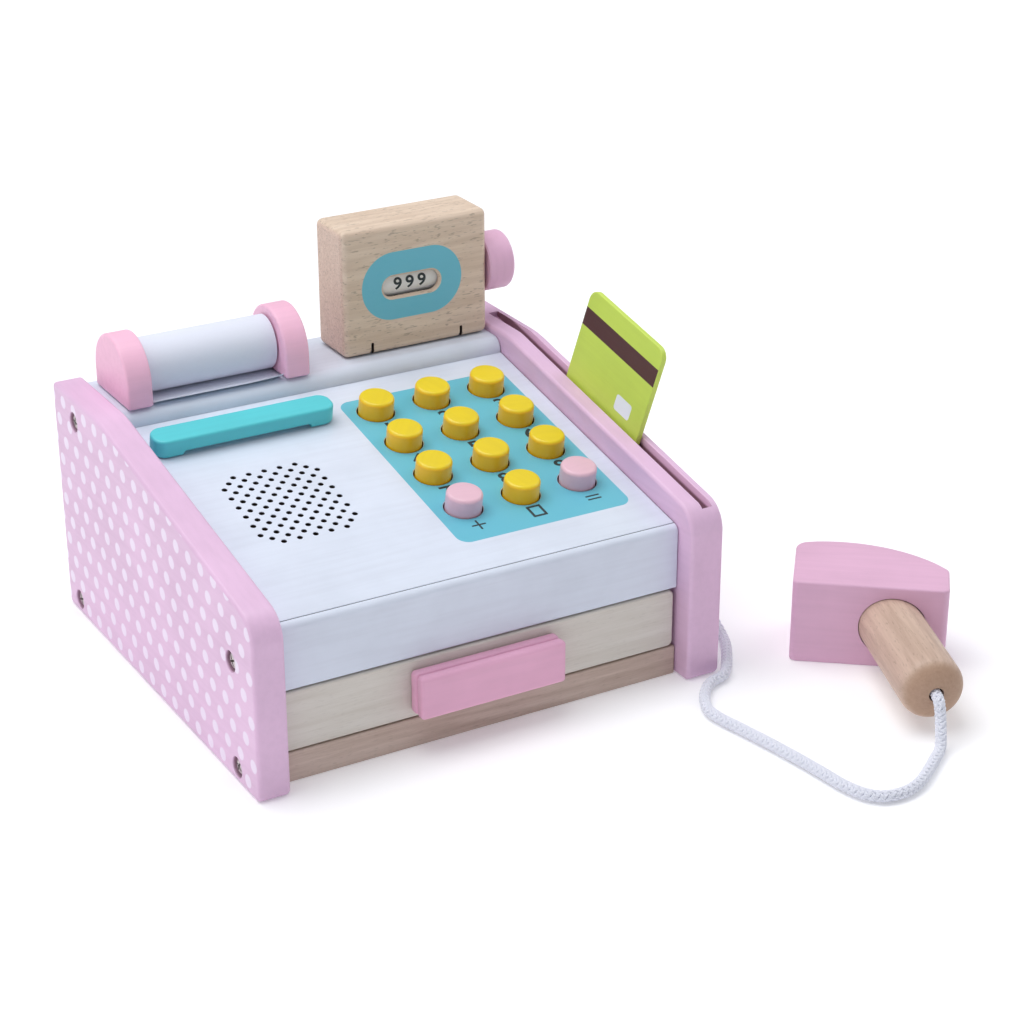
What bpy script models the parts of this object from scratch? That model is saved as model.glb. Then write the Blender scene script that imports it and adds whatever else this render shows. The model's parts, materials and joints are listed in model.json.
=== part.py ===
"""A wooden toy cash register with a drawer, keypad, number display, paper roll, play card and hand scanner.

Frame: metres, +Z up. The origin is the centre of the register's footprint, on the surface it stands on.
-Y is the front, where the drawer opens, and +X is the side with the card slot and the scanner.
"""

import math

import bmesh
import bpy
from mathutils import Matrix, Vector

# Overall body
WIDTH = 0.2000
DEPTH = 0.1900
SIDE_TOP = 0.0995
LEFT_THICK = 0.0128
RIGHT_THICK = 0.0149
GAP = 0.0003

# Planes between the two side panels
LEFT_IN = -WIDTH / 2 + LEFT_THICK
RIGHT_IN = WIDTH / 2 - RIGHT_THICK
MID_X = (LEFT_IN + RIGHT_IN) / 2
FRONT = -DEPTH / 2
BACK = DEPTH / 2
FACE = FRONT + 0.0090

# Boards
BASE_THICK = 0.0123
LINTEL_LOW = 0.0377
LINTEL_THICK = 0.0180
TOP_EDGE_Z = 0.0642
TOP_THICK = 0.0050
LIP = 0.0035
SHELF_FRONT = FRONT + 0.1474
SHELF_TOP = 0.0968
SHELF_THICK = 0.0150
BACK_THICK = 0.0060
SLOPE_RISE = 0.0264
SLOPE_RUN = 0.1376
SLOPE = math.atan2(SLOPE_RISE, SLOPE_RUN)
LIP_RADIUS = 0.0028

# Edge of a side panel, which stands this far above the sloping top
SIDE_RISE = 0.00977
SIDE_FOOT_RADIUS = 0.0030
SIDE_REAR_RADIUS = 0.0020
SIDE_BEND_RADIUS = 0.0600
SIDE_NOSE_RADIUS = 0.0120

# Keypad
KEY_RADIUS = 0.00725
KEY_HEIGHT = 0.0076
KEY_EDGE = 0.0013
KEY_TRAVEL = 0.0030
KEY_PITCH_X = 0.0257
KEY_PITCH_Y = 0.0248
KEY_COLUMN_X = 0.0129
KEY_ROW_ALONG = 0.0427
FLANGE_RADIUS = 0.0088
FLANGE_THICK = 0.0020
KEY_HOLE_RADIUS = 0.0078
SPRING_HEIGHT = 0.0090
SPRING_RADIUS = 0.0042
SPRING_WIRE = 0.00045
SPRING_TURNS = 3
BED_THICK = 0.0040
BED_START = 0.0200
BED_END = 0.1320
KEY_NAMES = (
    ("key_plus", "key_0", "key_equals"),
    ("key_7", "key_8", "key_9"),
    ("key_4", "key_5", "key_6"),
    ("key_1", "key_2", "key_3"),
)

# Paper roll, its brackets and the receipt bar
BRACKET_THICK = 0.0108
BRACKET_RADIUS = 0.0175
BRACKET_LEFT_IN = -0.0726
BRACKET_RIGHT_IN = -0.0147
ROLL_Y = FRONT + 0.1665
ROLL_Z = 0.1086
BRACKET_CENTRE_Z = 0.1060
ROLL_RADIUS = 0.0113
ROLL_END_GAP = 0.0008
ROLL_BORE_GAP = 0.0004
ROLL_AXLE_RADIUS = 0.0030
ROLL_AXLE_SEAT = 0.0070
TAIL_THICK = 0.0003
TAIL_FRONT = FRONT + 0.1530
TAIL_UNDER_ROLL = 0.0040
BAR_LENGTH = 0.0775
BAR_DEPTH = 0.0118
BAR_HEIGHT = 0.0077
BAR_X = -0.0447
BAR_ALONG = 0.1207
BAR_NOTCH = 0.0555
BAR_NOTCH_HEIGHT = 0.0020
BAR_CORNER = 0.0050

# Number display
BLOCK_LOW_X = 0.0158
BLOCK_WIDTH = 0.0680
BLOCK_FRONT = FRONT + 0.1570
BLOCK_DEPTH = 0.0250
BLOCK_TOP = 0.1521
DRUM_Y = BLOCK_FRONT + 0.0108
DRUM_Z = 0.1250
DRUM_RADIUS = 0.0083
POCKET_RADIUS = 0.0088
POCKET_LOW_X = 0.0285
POCKET_HIGH_X = 0.0712
DRUM_END_GAP = 0.0006
DRUM_AXLE_RADIUS = 0.0030
WINDOW_X = 0.0477
WINDOW_WIDTH = 0.0285
WINDOW_HEIGHT = 0.0100
KERF_WIDTH = 0.0013
KERF_HEIGHT = 0.0052
KNOB_RADIUS = 0.0125
KNOB_THICK = 0.0122
KNOB_EDGE = 0.0028
KNOB_EDGE_MIDDLE = 0.0009
KNOB_GAP = 0.0010
KNOB_SOCKET = 0.7 * KNOB_THICK
BLIND_WALL = 0.0040

# Drawer
DRAWER_SIDE_GAP = 0.0015
DRAWER_LOW = BASE_THICK + 0.0005
DRAWER_HIGH = LINTEL_LOW - 0.0006
DRAWER_FRONT_THICK = 0.0120
DRAWER_DEPTH = 0.1650
DRAWER_WALL = 0.0060
DRAWER_WALL_TOP = 0.0338
DRAWER_BOTTOM_THICK = 0.0030
HANDLE_X = -0.0024
HANDLE_WIDTH = 0.0622
HANDLE_HEIGHT = 0.0174
HANDLE_LAYER = 0.0048
HANDLE_Z = 0.0247
HANDLE_CORNER = 0.0020
HANDLE_GROOVE = 0.0008

# Play card and its slot
CARD_LENGTH = 0.0551
CARD_HEIGHT = 0.0464
CARD_THICK = 0.0024
CARD_CORNER = 0.0050
CARD_LEAN = math.radians(10.7)
CARD_ALONG = 0.0753
SLOT_X = WIDTH / 2 - 0.0053
SLOT_WIDTH = 0.0046
SLOT_DEPTH = 0.0080
SLOT_START = -0.0030
SLOT_END = 0.1660
CARD_OFFSET = -0.0007
CARD_FLOOR_GAP = 0.0006

# Hand scanner: its head lies on its side, with the grip leaving the flat base of the head
HEAD_BASE = 0.0615
HEAD_THICK = 0.0354
HEAD_ARC_RADIUS = 0.0553
HEAD_ARC_X = 0.0183
HEAD_ARC_Y = -0.0148
HEAD_BASE_RADIUS = 0.0025
HEAD_LOW_END = 0.0197
HEAD_LOW_RADIUS = 0.0040
HEAD_HIGH_END = 0.0374
HEAD_HIGH_RADIUS = 0.0060
HEAD_ARC_START = 0.0080
HEAD_PLACE = Vector((0.1303, -0.1003, 0.0))
HEAD_TURN = math.radians(-38.5)
GRIP_RADIUS = 0.0126
GRIP_X = 0.0402
GRIP_Z = HEAD_THICK / 2
GRIP_TURN = math.radians(17.6)
GRIP_LENGTH = 0.0513
GRIP_DOME = 0.0050
GRIP_INSERT = 0.0200

# Cord
CORD_RADIUS = 0.0023
CORD_HOLE_RADIUS = 0.0030
CORD_HOLE_DEPTH = 0.0100
CORD_EXIT_Y = FRONT + 0.0400
CORD_EXIT_Z = 0.0220
CORD_FLOOR_Z = 0.0027

# Screws that hold the side panels to the boards between them
SCREW_HEAD_RADIUS = 0.0037
SCREW_HEAD_HEIGHT = 0.0022
SCREW_SHANK_RADIUS = 0.0016
SCREW_LENGTH = 0.0220
RECESS_RADIUS = 0.0042
RECESS_DEPTH = 0.0032
SCREW_PLACES = {
    "rear_top": (FRONT + 0.1680, SHELF_TOP - SHELF_THICK / 2),
    "rear_bottom": (FRONT + 0.1777, BASE_THICK / 2),
    "front_top": (FRONT + 0.0200, 0.0495),
    "front_bottom": (FRONT + 0.0190, BASE_THICK / 2),
}

# Colours as linear RGB, with roughness and metallic
LOOKS = {
    "pink_paint": ((0.78, 0.46, 0.66), 0.45, 0.0),
    "white_paint": ((0.78, 0.83, 0.90), 0.40, 0.0),
    "turquoise_paint": ((0.09, 0.52, 0.58), 0.40, 0.0),
    "yellow_paint": ((0.83, 0.60, 0.02), 0.38, 0.0),
    "beech": ((0.58, 0.42, 0.29), 0.55, 0.0),
    "birch_plywood": ((0.62, 0.52, 0.42), 0.60, 0.0),
    "paper": ((0.86, 0.87, 0.90), 0.80, 0.0),
    "card_green": ((0.50, 0.68, 0.09), 0.45, 0.0),
    "cord": ((0.80, 0.80, 0.88), 0.85, 0.0),
    "steel": ((0.60, 0.60, 0.62), 0.30, 1.0),
}

TO_SIDE = (math.pi / 2, 0, math.pi / 2)
TO_SLOPE = (SLOPE, 0, 0)
ALONG_X = (0, math.pi / 2, 0)


def clear_scene():
    for obj in list(bpy.data.objects):
        bpy.data.objects.remove(obj, do_unlink=True)


def new_collection(name):
    made = bpy.data.collections.new(name)
    bpy.context.scene.collection.children.link(made)
    return made


def look(name):
    """One of the named paints or materials."""
    made = bpy.data.materials.get(name)
    if made:
        return made
    colour, roughness, metallic = LOOKS[name]
    made = bpy.data.materials.new(name)
    made.use_nodes = True
    shader = made.node_tree.nodes["Principled BSDF"]
    shader.inputs["Base Color"].default_value = (*colour, 1)
    shader.inputs["Roughness"].default_value = roughness
    shader.inputs["Metallic"].default_value = metallic
    made.diffuse_color = (*colour, 1)
    return made


def place(name, shape, material, location, rotation=(0, 0, 0)):
    """Adds a visible mesh or curve with its own material, which is a copy of the named look."""
    obj = bpy.data.objects.new(name, shape)
    obj.location = location
    obj.rotation_euler = rotation
    own = look(material).copy()
    own.name = name + "_" + material
    shape.materials.clear()
    shape.materials.append(own)
    PARTS.objects.link(obj)
    return obj


def cutter(obj):
    """Makes obj a hidden cutter."""
    for owner in list(obj.users_collection):
        owner.objects.unlink(obj)
    CUTTERS.objects.link(obj)
    obj.hide_render = True
    obj.display_type = "WIRE"
    return obj


def cut(obj, *tools):
    for tool in tools:
        change = obj.modifiers.new("cut_" + tool.name, "BOOLEAN")
        change.operation = "DIFFERENCE"
        change.solver = "EXACT"
        change.object = tool


def smooth(obj):
    obj.data.shade_smooth()
    obj.data.set_sharp_from_angle(angle=math.radians(35))


def box_mesh(name, size):
    mesh = bpy.data.meshes.new(name)
    work = bmesh.new()
    bmesh.ops.create_cube(work, size=1.0)
    bmesh.ops.scale(work, vec=size, verts=work.verts)
    work.to_mesh(mesh)
    work.free()
    return mesh


def box(name, low, high, material):
    """A board from its lowest to its highest corner."""
    low, high = Vector(low), Vector(high)
    return place(name, box_mesh(name, high - low), material, (low + high) / 2)


def box_cutter(name, size, location, rotation=(0, 0, 0)):
    obj = bpy.data.objects.new(name, box_mesh(name, size))
    obj.location = location
    obj.rotation_euler = rotation
    return cutter(obj)


def rod_mesh(name, radius, length, segments):
    """A cylinder along Z, centred on the origin."""
    mesh = bpy.data.meshes.new(name)
    work = bmesh.new()
    bmesh.ops.create_cone(
        work, cap_ends=True, segments=segments, radius1=radius, radius2=radius, depth=length
    )
    work.to_mesh(mesh)
    work.free()
    return mesh


def rod(name, radius, length, location, rotation, material, segments=16):
    obj = place(name, rod_mesh(name, radius, length, segments), material, location, rotation)
    smooth(obj)
    return obj


def rod_cutter(name, radius, length, location, rotation=(0, 0, 0), segments=16):
    obj = bpy.data.objects.new(name, rod_mesh(name, radius, length, segments))
    obj.location = location
    obj.rotation_euler = rotation
    return cutter(obj)


def turned(name, profile, location, rotation, material, segments=16):
    """A solid of revolution about its own Z. The profile is (radius, height) pairs, down the outer side."""
    mesh = bpy.data.meshes.new(name)
    work = bmesh.new()
    rim = [work.verts.new((radius, 0, height)) for radius, height in profile]
    for first, second in zip(rim, rim[1:]):
        work.edges.new((first, second))
    work.to_mesh(mesh)
    work.free()
    obj = place(name, mesh, material, location, rotation)
    spin = obj.modifiers.new("turn", "SCREW")
    spin.steps = segments
    spin.render_steps = segments
    spin.use_merge_vertices = True
    spin.merge_threshold = 0.00001
    return obj


def rounded(corners, steps=4):
    """Outline points for (x, y, radius) corners, each rounded to its radius."""
    points = []
    for i, (x, y, radius) in enumerate(corners):
        here = Vector((x, y))
        if radius == 0:
            points.append(here)
            continue
        back = (Vector(corners[i - 1][:2]) - here).normalized()
        ahead = (Vector(corners[(i + 1) % len(corners)][:2]) - here).normalized()
        half = back.angle(ahead) / 2
        centre = here + (back + ahead).normalized() * radius / math.sin(half)
        start = here + back * radius / math.tan(half) - centre
        end = here + ahead * radius / math.tan(half) - centre
        first = math.atan2(start.y, start.x)
        sweep = (math.atan2(end.y, end.x) - first + math.pi) % (2 * math.pi) - math.pi
        for step in range(steps + 1):
            angle = first + sweep * step / steps
            points.append(centre + radius * Vector((math.cos(angle), math.sin(angle))))
    return points


def rectangle(width, height, radius, steps=4):
    """A rounded rectangle centred on the origin."""
    x, y = width / 2, height / 2
    return rounded([(-x, -y, radius), (x, -y, radius), (x, y, radius), (-x, y, radius)], steps)


def circle(x, y, radius, segments=16):
    turns = [2 * math.pi * i / segments for i in range(segments)]
    return [Vector((x + radius * math.cos(a), y + radius * math.sin(a))) for a in turns]


def flat_mesh(name, outlines, thickness):
    """The closed mesh of a flat outline, with any further outlines as holes, extruded both ways."""
    curve = bpy.data.curves.new(name, "CURVE")
    curve.dimensions = "2D"
    curve.fill_mode = "BOTH"
    curve.extrude = thickness / 2
    for outline in outlines:
        spline = curve.splines.new("POLY")
        spline.points.add(len(outline) - 1)
        for point, corner in zip(spline.points, outline):
            point.co = (corner[0], corner[1], 0, 1)
        spline.use_cyclic_u = True
    guide = bpy.data.objects.new(name + "_outline", curve)
    PARTS.objects.link(guide)
    graph = bpy.context.evaluated_depsgraph_get()
    mesh = bpy.data.meshes.new_from_object(guide.evaluated_get(graph))
    bpy.data.objects.remove(guide)
    bpy.data.curves.remove(curve)
    work = bmesh.new()
    work.from_mesh(mesh)
    bmesh.ops.remove_doubles(work, verts=work.verts, dist=0.000001)
    bmesh.ops.recalc_face_normals(work, faces=work.faces)
    work.to_mesh(mesh)
    work.free()
    mesh.name = name
    return mesh


def flat(name, outlines, thickness, location, rotation, material):
    obj = place(name, flat_mesh(name, outlines, thickness), material, location, rotation)
    smooth(obj)
    return obj


def flat_cutter(name, outlines, thickness, location, rotation=(0, 0, 0)):
    obj = bpy.data.objects.new(name, flat_mesh(name, outlines, thickness))
    obj.location = location
    obj.rotation_euler = rotation
    return cutter(obj)


def joint_empty(name, location):
    """An empty on a joint's axis, which carries the pieces that move together."""
    empty = bpy.data.objects.new(name, None)
    empty.empty_display_size = 0.01
    empty.location = location
    PARTS.objects.link(empty)
    return empty


def carry(empty, *pieces):
    for piece in pieces:
        piece.location = Vector(piece.location) - empty.location
        piece.parent = empty


def on_slope(x, along, above=0.0):
    """A point over the sloping top: along runs up it from the front edge, above is off its surface."""
    return Vector(
        (
            x,
            FACE + along * math.cos(SLOPE) - above * math.sin(SLOPE),
            TOP_EDGE_Z + along * math.sin(SLOPE) + above * math.cos(SLOPE),
        )
    )


def slope_z(y, above=0.0):
    """Height of the plane that is this far above the sloping top, at y."""
    return TOP_EDGE_Z + above / math.cos(SLOPE) + (y - FACE) * math.tan(SLOPE)


def screw_name(side, place_name):
    return f"screw_{side}_{place_name}"


def cut_screw_holes(side, sign, panel, boards):
    """Recess and shank hole through a side panel, and a pilot hole in the board behind it."""
    outer = sign * WIDTH / 2
    for place_name, (y, z) in SCREW_PLACES.items():
        name = screw_name(side, place_name)
        recess = rod_cutter(
            "recess_" + name, RECESS_RADIUS, 2 * RECESS_DEPTH, (outer, y, z), ALONG_X, 12
        )
        reach = RECESS_DEPTH + SCREW_LENGTH + 2 * GAP
        hole = rod_cutter(
            "hole_" + name,
            SCREW_SHANK_RADIUS + GAP,
            2 * reach,
            (outer, y, z),
            ALONG_X,
            8,
        )
        cut(panel, recess, hole)
        cut(boards[place_name], hole)


def make_screws(side, sign):
    head, shank = SCREW_HEAD_RADIUS, SCREW_SHANK_RADIUS
    profile = [
        (0, 0),
        (0.75 * head, -0.0002),
        (head, -0.0011),
        (head, -SCREW_HEAD_HEIGHT),
        (shank, -SCREW_HEAD_HEIGHT),
        (shank, -SCREW_LENGTH + 0.003),
        (0, -SCREW_LENGTH),
    ]
    seat = sign * (WIDTH / 2 - RECESS_DEPTH + SCREW_HEAD_HEIGHT + GAP)
    for place_name, (y, z) in SCREW_PLACES.items():
        turned(
            screw_name(side, place_name),
            profile,
            (seat, y, z),
            (0, sign * math.pi / 2, 0),
            "steel",
            8,
        )


def side_outline():
    """Side view of a side panel, as (Y, Z): a sloping front half and a level rear half."""
    nose_z = slope_z(FRONT, SIDE_RISE)
    bend_y = FRONT + (SIDE_TOP - nose_z) / math.tan(SLOPE)
    return rounded(
        [
            (FRONT, 0, SIDE_FOOT_RADIUS),
            (BACK, 0, SIDE_FOOT_RADIUS),
            (BACK, SIDE_TOP, SIDE_REAR_RADIUS),
            (bend_y, SIDE_TOP, SIDE_BEND_RADIUS),
            (FRONT, nose_z, SIDE_NOSE_RADIUS),
        ]
    )


def make_side_panels():
    outline = side_outline()
    left = flat(
        "left_side_panel",
        [outline],
        LEFT_THICK,
        (-WIDTH / 2 + LEFT_THICK / 2, 0, 0),
        TO_SIDE,
        "pink_paint",
    )
    right = flat(
        "right_side_panel",
        [outline],
        RIGHT_THICK,
        (WIDTH / 2 - RIGHT_THICK / 2, 0, 0),
        TO_SIDE,
        "pink_paint",
    )
    rise = 0.020
    slot = box_cutter(
        "card_slot",
        (SLOT_WIDTH, SLOT_END - SLOT_START, SLOT_DEPTH + rise),
        on_slope(SLOT_X, (SLOT_START + SLOT_END) / 2, SIDE_RISE + (rise - SLOT_DEPTH) / 2),
        TO_SLOPE,
    )
    cord_hole = rod_cutter(
        "cord_hole",
        CORD_HOLE_RADIUS,
        2 * CORD_HOLE_DEPTH,
        (WIDTH / 2, CORD_EXIT_Y, CORD_EXIT_Z),
        ALONG_X,
        12,
    )
    cut(right, slot, cord_hole)
    return left, right


def make_boards():
    """The boards that run between the side panels."""
    low_x, high_x = LEFT_IN + GAP, RIGHT_IN - GAP
    base = box("base_board", (low_x, FACE, 0), (high_x, BACK, BASE_THICK), "birch_plywood")
    shelf = box(
        "rear_shelf",
        (low_x, SHELF_FRONT, SHELF_TOP - SHELF_THICK),
        (high_x, BACK, SHELF_TOP),
        "white_paint",
    )
    box(
        "back_panel",
        (low_x, BACK - BACK_THICK, BASE_THICK + GAP),
        (high_x, BACK, SHELF_TOP - SHELF_THICK - GAP),
        "white_paint",
    )
    step_y = FACE + LIP - GAP
    back_y = FACE + LINTEL_THICK
    under = -TOP_THICK - GAP
    lintel_outline = rounded(
        [
            (FACE, LINTEL_LOW, 0),
            (back_y, LINTEL_LOW, 0),
            (back_y, slope_z(back_y, under), 0),
            (step_y, slope_z(step_y, under), 0),
            (step_y, slope_z(step_y), 0),
            (FACE, TOP_EDGE_Z, LIP_RADIUS),
        ],
        3,
    )
    lintel = flat(
        "front_panel", [lintel_outline], high_x - low_x, (MID_X, 0, 0), TO_SIDE, "white_paint"
    )
    return {
        "rear_top": shelf,
        "rear_bottom": base,
        "front_top": lintel,
        "front_bottom": base,
    }


def key_places():
    """(name, x, along) of each key, row by row from the front."""
    places = []
    for row, names in enumerate(KEY_NAMES):
        for column, name in enumerate(names):
            x = KEY_COLUMN_X + column * KEY_PITCH_X
            places.append((name, x, KEY_ROW_ALONG + row * KEY_PITCH_Y))
    return places


def make_top_panel():
    """The sloping top, with a round hole for each key. Its rear edge is trimmed upright against the shelf."""
    low_x, high_x = LEFT_IN + GAP, RIGHT_IN - GAP
    length = (SHELF_FRONT - FACE) / math.cos(SLOPE) + 0.002
    edge = [(low_x, LIP), (high_x, LIP), (high_x, length), (low_x, length)]
    holes = [circle(x, along, KEY_HOLE_RADIUS) for _, x, along in key_places()]
    top = flat(
        "top_panel",
        [edge, *holes],
        TOP_THICK,
        on_slope(0, 0, -TOP_THICK / 2),
        TO_SLOPE,
        "white_paint",
    )
    reach = 0.020
    trim = box_cutter(
        "top_panel_trim",
        (WIDTH, reach, 2 * reach),
        (0, SHELF_FRONT - GAP + reach / 2, SHELF_TOP),
    )
    cut(top, trim)


def make_key_bed():
    """The board under the keys, which the springs stand on."""
    top = -TOP_THICK - GAP - FLANGE_THICK - SPRING_HEIGHT
    size = (RIGHT_IN - LEFT_IN - 2 * GAP, BED_END - BED_START, BED_THICK)
    place(
        "key_bed",
        box_mesh("key_bed", size),
        "birch_plywood",
        on_slope(MID_X, (BED_START + BED_END) / 2, top - BED_THICK / 2),
        TO_SLOPE,
    )


def key_profile():
    """A round key with a softened top edge and a flange that keeps it under the top panel."""
    flange_top = -TOP_THICK - GAP
    bend = KEY_EDGE * (1 - math.cos(math.pi / 4))
    return [
        (0, KEY_HEIGHT),
        (KEY_RADIUS - KEY_EDGE, KEY_HEIGHT),
        (KEY_RADIUS - bend, KEY_HEIGHT - bend),
        (KEY_RADIUS, KEY_HEIGHT - KEY_EDGE),
        (KEY_RADIUS, flange_top),
        (FLANGE_RADIUS, flange_top),
        (FLANGE_RADIUS, flange_top - FLANGE_THICK),
        (0, flange_top - FLANGE_THICK),
    ]


def make_keys():
    profile = key_profile()
    for name, x, along in key_places():
        paint = "pink_paint" if name in ("key_plus", "key_equals") else "yellow_paint"
        key = turned(name, profile, on_slope(x, along), TO_SLOPE, paint)
        smooth(key)


def make_springs():
    """A coil spring under each key's flange."""
    top = -TOP_THICK - FLANGE_THICK - 2 * GAP - SPRING_WIRE
    height = SPRING_HEIGHT - 2 * GAP - 2 * SPRING_WIRE
    steps = 8 * SPRING_TURNS
    for name, x, along in key_places():
        curve = bpy.data.curves.new(name + "_spring", "CURVE")
        curve.dimensions = "3D"
        curve.bevel_depth = SPRING_WIRE
        curve.bevel_resolution = 0
        curve.use_fill_caps = True
        spline = curve.splines.new("POLY")
        spline.points.add(steps)
        for i, point in enumerate(spline.points):
            turn = 2 * math.pi * SPRING_TURNS * i / steps
            ring = (SPRING_RADIUS * math.cos(turn), SPRING_RADIUS * math.sin(turn))
            point.co = (*ring, top - height * i / steps, 1)
        place(name + "_spring", curve, "steel", on_slope(x, along), TO_SLOPE)


def make_receipt_bar():
    """A rounded bar on the sloping top, with a shallow bridge that the paper passes under."""
    outline = rectangle(BAR_LENGTH, BAR_DEPTH, BAR_CORNER)
    bar = flat(
        "receipt_bar",
        [outline],
        BAR_HEIGHT,
        on_slope(BAR_X, BAR_ALONG, BAR_HEIGHT / 2 + GAP),
        TO_SLOPE,
        "turquoise_paint",
    )
    bridge = box_cutter(
        "receipt_bar_bridge",
        (BAR_NOTCH, 2 * BAR_DEPTH, 2 * BAR_NOTCH_HEIGHT),
        on_slope(BAR_X, BAR_ALONG, GAP),
        TO_SLOPE,
    )
    cut(bar, bridge)


def make_roll_holder():
    """Two round-topped brackets, a dowel between them, the paper roll and its loose end."""
    foot = SHELF_TOP + GAP
    arch = [(ROLL_Y + BRACKET_RADIUS, foot), (ROLL_Y + BRACKET_RADIUS, BRACKET_CENTRE_Z)]
    for i in range(1, 12):
        angle = math.pi * i / 12
        arch.append(
            (
                ROLL_Y + BRACKET_RADIUS * math.cos(angle),
                BRACKET_CENTRE_Z + BRACKET_RADIUS * math.sin(angle),
            )
        )
    arch += [(ROLL_Y - BRACKET_RADIUS, BRACKET_CENTRE_Z), (ROLL_Y - BRACKET_RADIUS, foot)]
    middle = (BRACKET_LEFT_IN + BRACKET_RIGHT_IN) / 2
    span = BRACKET_RIGHT_IN - BRACKET_LEFT_IN
    hole = rod_cutter(
        "roll_axle_hole",
        ROLL_AXLE_RADIUS + GAP,
        span + 2 * (ROLL_AXLE_SEAT + GAP),
        (middle, ROLL_Y, ROLL_Z),
        ALONG_X,
        12,
    )
    for side, x in (
        ("left", BRACKET_LEFT_IN - BRACKET_THICK / 2),
        ("right", BRACKET_RIGHT_IN + BRACKET_THICK / 2),
    ):
        bracket = flat(
            "roll_bracket_" + side, [arch], BRACKET_THICK, (x, 0, 0), TO_SIDE, "pink_paint"
        )
        cut(bracket, hole)
    rod(
        "roll_axle",
        ROLL_AXLE_RADIUS,
        span + 2 * ROLL_AXLE_SEAT,
        (middle, ROLL_Y, ROLL_Z),
        ALONG_X,
        "beech",
        12,
    )
    width = span - 2 * ROLL_END_GAP
    bore = ROLL_AXLE_RADIUS + ROLL_BORE_GAP
    roll = flat(
        "paper_roll",
        [circle(0, 0, ROLL_RADIUS, 24), circle(0, 0, bore, 12)],
        width,
        (middle, ROLL_Y, ROLL_Z),
        TO_SIDE,
        "paper",
    )
    carry(joint_empty("paper_roll_axis", (middle, ROLL_Y, ROLL_Z)), roll)
    box(
        "paper_tail",
        (middle - width / 2, TAIL_FRONT, SHELF_TOP + 0.5 * TAIL_THICK),
        (middle + width / 2, ROLL_Y + TAIL_UNDER_ROLL, SHELF_TOP + 1.2 * TAIL_THICK),
        "paper",
    )


def make_display():
    """A beech block with a window onto a number drum, which the knob on its right turns."""
    foot = SHELF_TOP + GAP
    block = box(
        "display_block",
        (BLOCK_LOW_X, BLOCK_FRONT, foot),
        (BLOCK_LOW_X + BLOCK_WIDTH, BLOCK_FRONT + BLOCK_DEPTH, BLOCK_TOP),
        "beech",
    )
    pocket_width = POCKET_HIGH_X - POCKET_LOW_X
    pocket_x = (POCKET_LOW_X + POCKET_HIGH_X) / 2
    low = foot - 0.002
    pocket_outline = [(DRUM_Y + POCKET_RADIUS, low)]
    for i in range(13):
        angle = math.pi * i / 12
        pocket_outline.append(
            (DRUM_Y + POCKET_RADIUS * math.cos(angle), DRUM_Z + POCKET_RADIUS * math.sin(angle))
        )
    pocket_outline.append((DRUM_Y - POCKET_RADIUS, low))
    pocket = flat_cutter(
        "drum_pocket", [pocket_outline], pocket_width, (pocket_x, 0, 0), TO_SIDE
    )
    window = flat_cutter(
        "display_window",
        [rectangle(WINDOW_WIDTH, WINDOW_HEIGHT, 0.499 * WINDOW_HEIGHT, 6)],
        BLOCK_DEPTH / 2,
        (WINDOW_X, BLOCK_FRONT, DRUM_Z),
        (math.pi / 2, 0, 0),
    )
    kerfs = [
        box_cutter(
            "kerf_" + side,
            (KERF_WIDTH, BLOCK_DEPTH / 2, 2 * KERF_HEIGHT),
            (x, BLOCK_FRONT, foot),
        )
        for side, x in (
            ("left", POCKET_LOW_X + KERF_WIDTH / 4),
            ("right", POCKET_HIGH_X - KERF_WIDTH / 4),
        )
    ]
    blind_end = BLOCK_LOW_X + BLIND_WALL
    knob_face = BLOCK_LOW_X + BLOCK_WIDTH + KNOB_GAP
    axle_end = knob_face + KNOB_SOCKET
    axle_middle = (blind_end + axle_end) / 2
    axle_hole = rod_cutter(
        "drum_axle_hole",
        DRUM_AXLE_RADIUS + GAP,
        axle_end - blind_end + 2 * GAP,
        (axle_middle, DRUM_Y, DRUM_Z),
        ALONG_X,
        12,
    )
    cut(block, pocket, window, *kerfs, axle_hole)
    axle = rod(
        "drum_axle",
        DRUM_AXLE_RADIUS,
        axle_end - blind_end,
        (axle_middle, DRUM_Y, DRUM_Z),
        ALONG_X,
        "beech",
        12,
    )
    drum = flat(
        "number_drum",
        [circle(0, 0, DRUM_RADIUS, 24), circle(0, 0, DRUM_AXLE_RADIUS + GAP, 12)],
        pocket_width - 2 * DRUM_END_GAP,
        (pocket_x, DRUM_Y, DRUM_Z),
        TO_SIDE,
        "white_paint",
    )
    knob = turned(
        "display_knob",
        [
            (0, KNOB_THICK),
            (KNOB_RADIUS - KNOB_EDGE, KNOB_THICK),
            (KNOB_RADIUS - KNOB_EDGE_MIDDLE, KNOB_THICK - KNOB_EDGE_MIDDLE),
            (KNOB_RADIUS, KNOB_THICK - KNOB_EDGE),
            (KNOB_RADIUS, 0),
            (DRUM_AXLE_RADIUS + GAP, 0),
            (DRUM_AXLE_RADIUS + GAP, KNOB_SOCKET + GAP),
            (0, KNOB_SOCKET + GAP),
        ],
        (knob_face, DRUM_Y, DRUM_Z),
        ALONG_X,
        "pink_paint",
        24,
    )
    smooth(knob)
    carry(joint_empty("number_drum_axis", (pocket_x, DRUM_Y, DRUM_Z)), drum, axle, knob)


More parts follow.
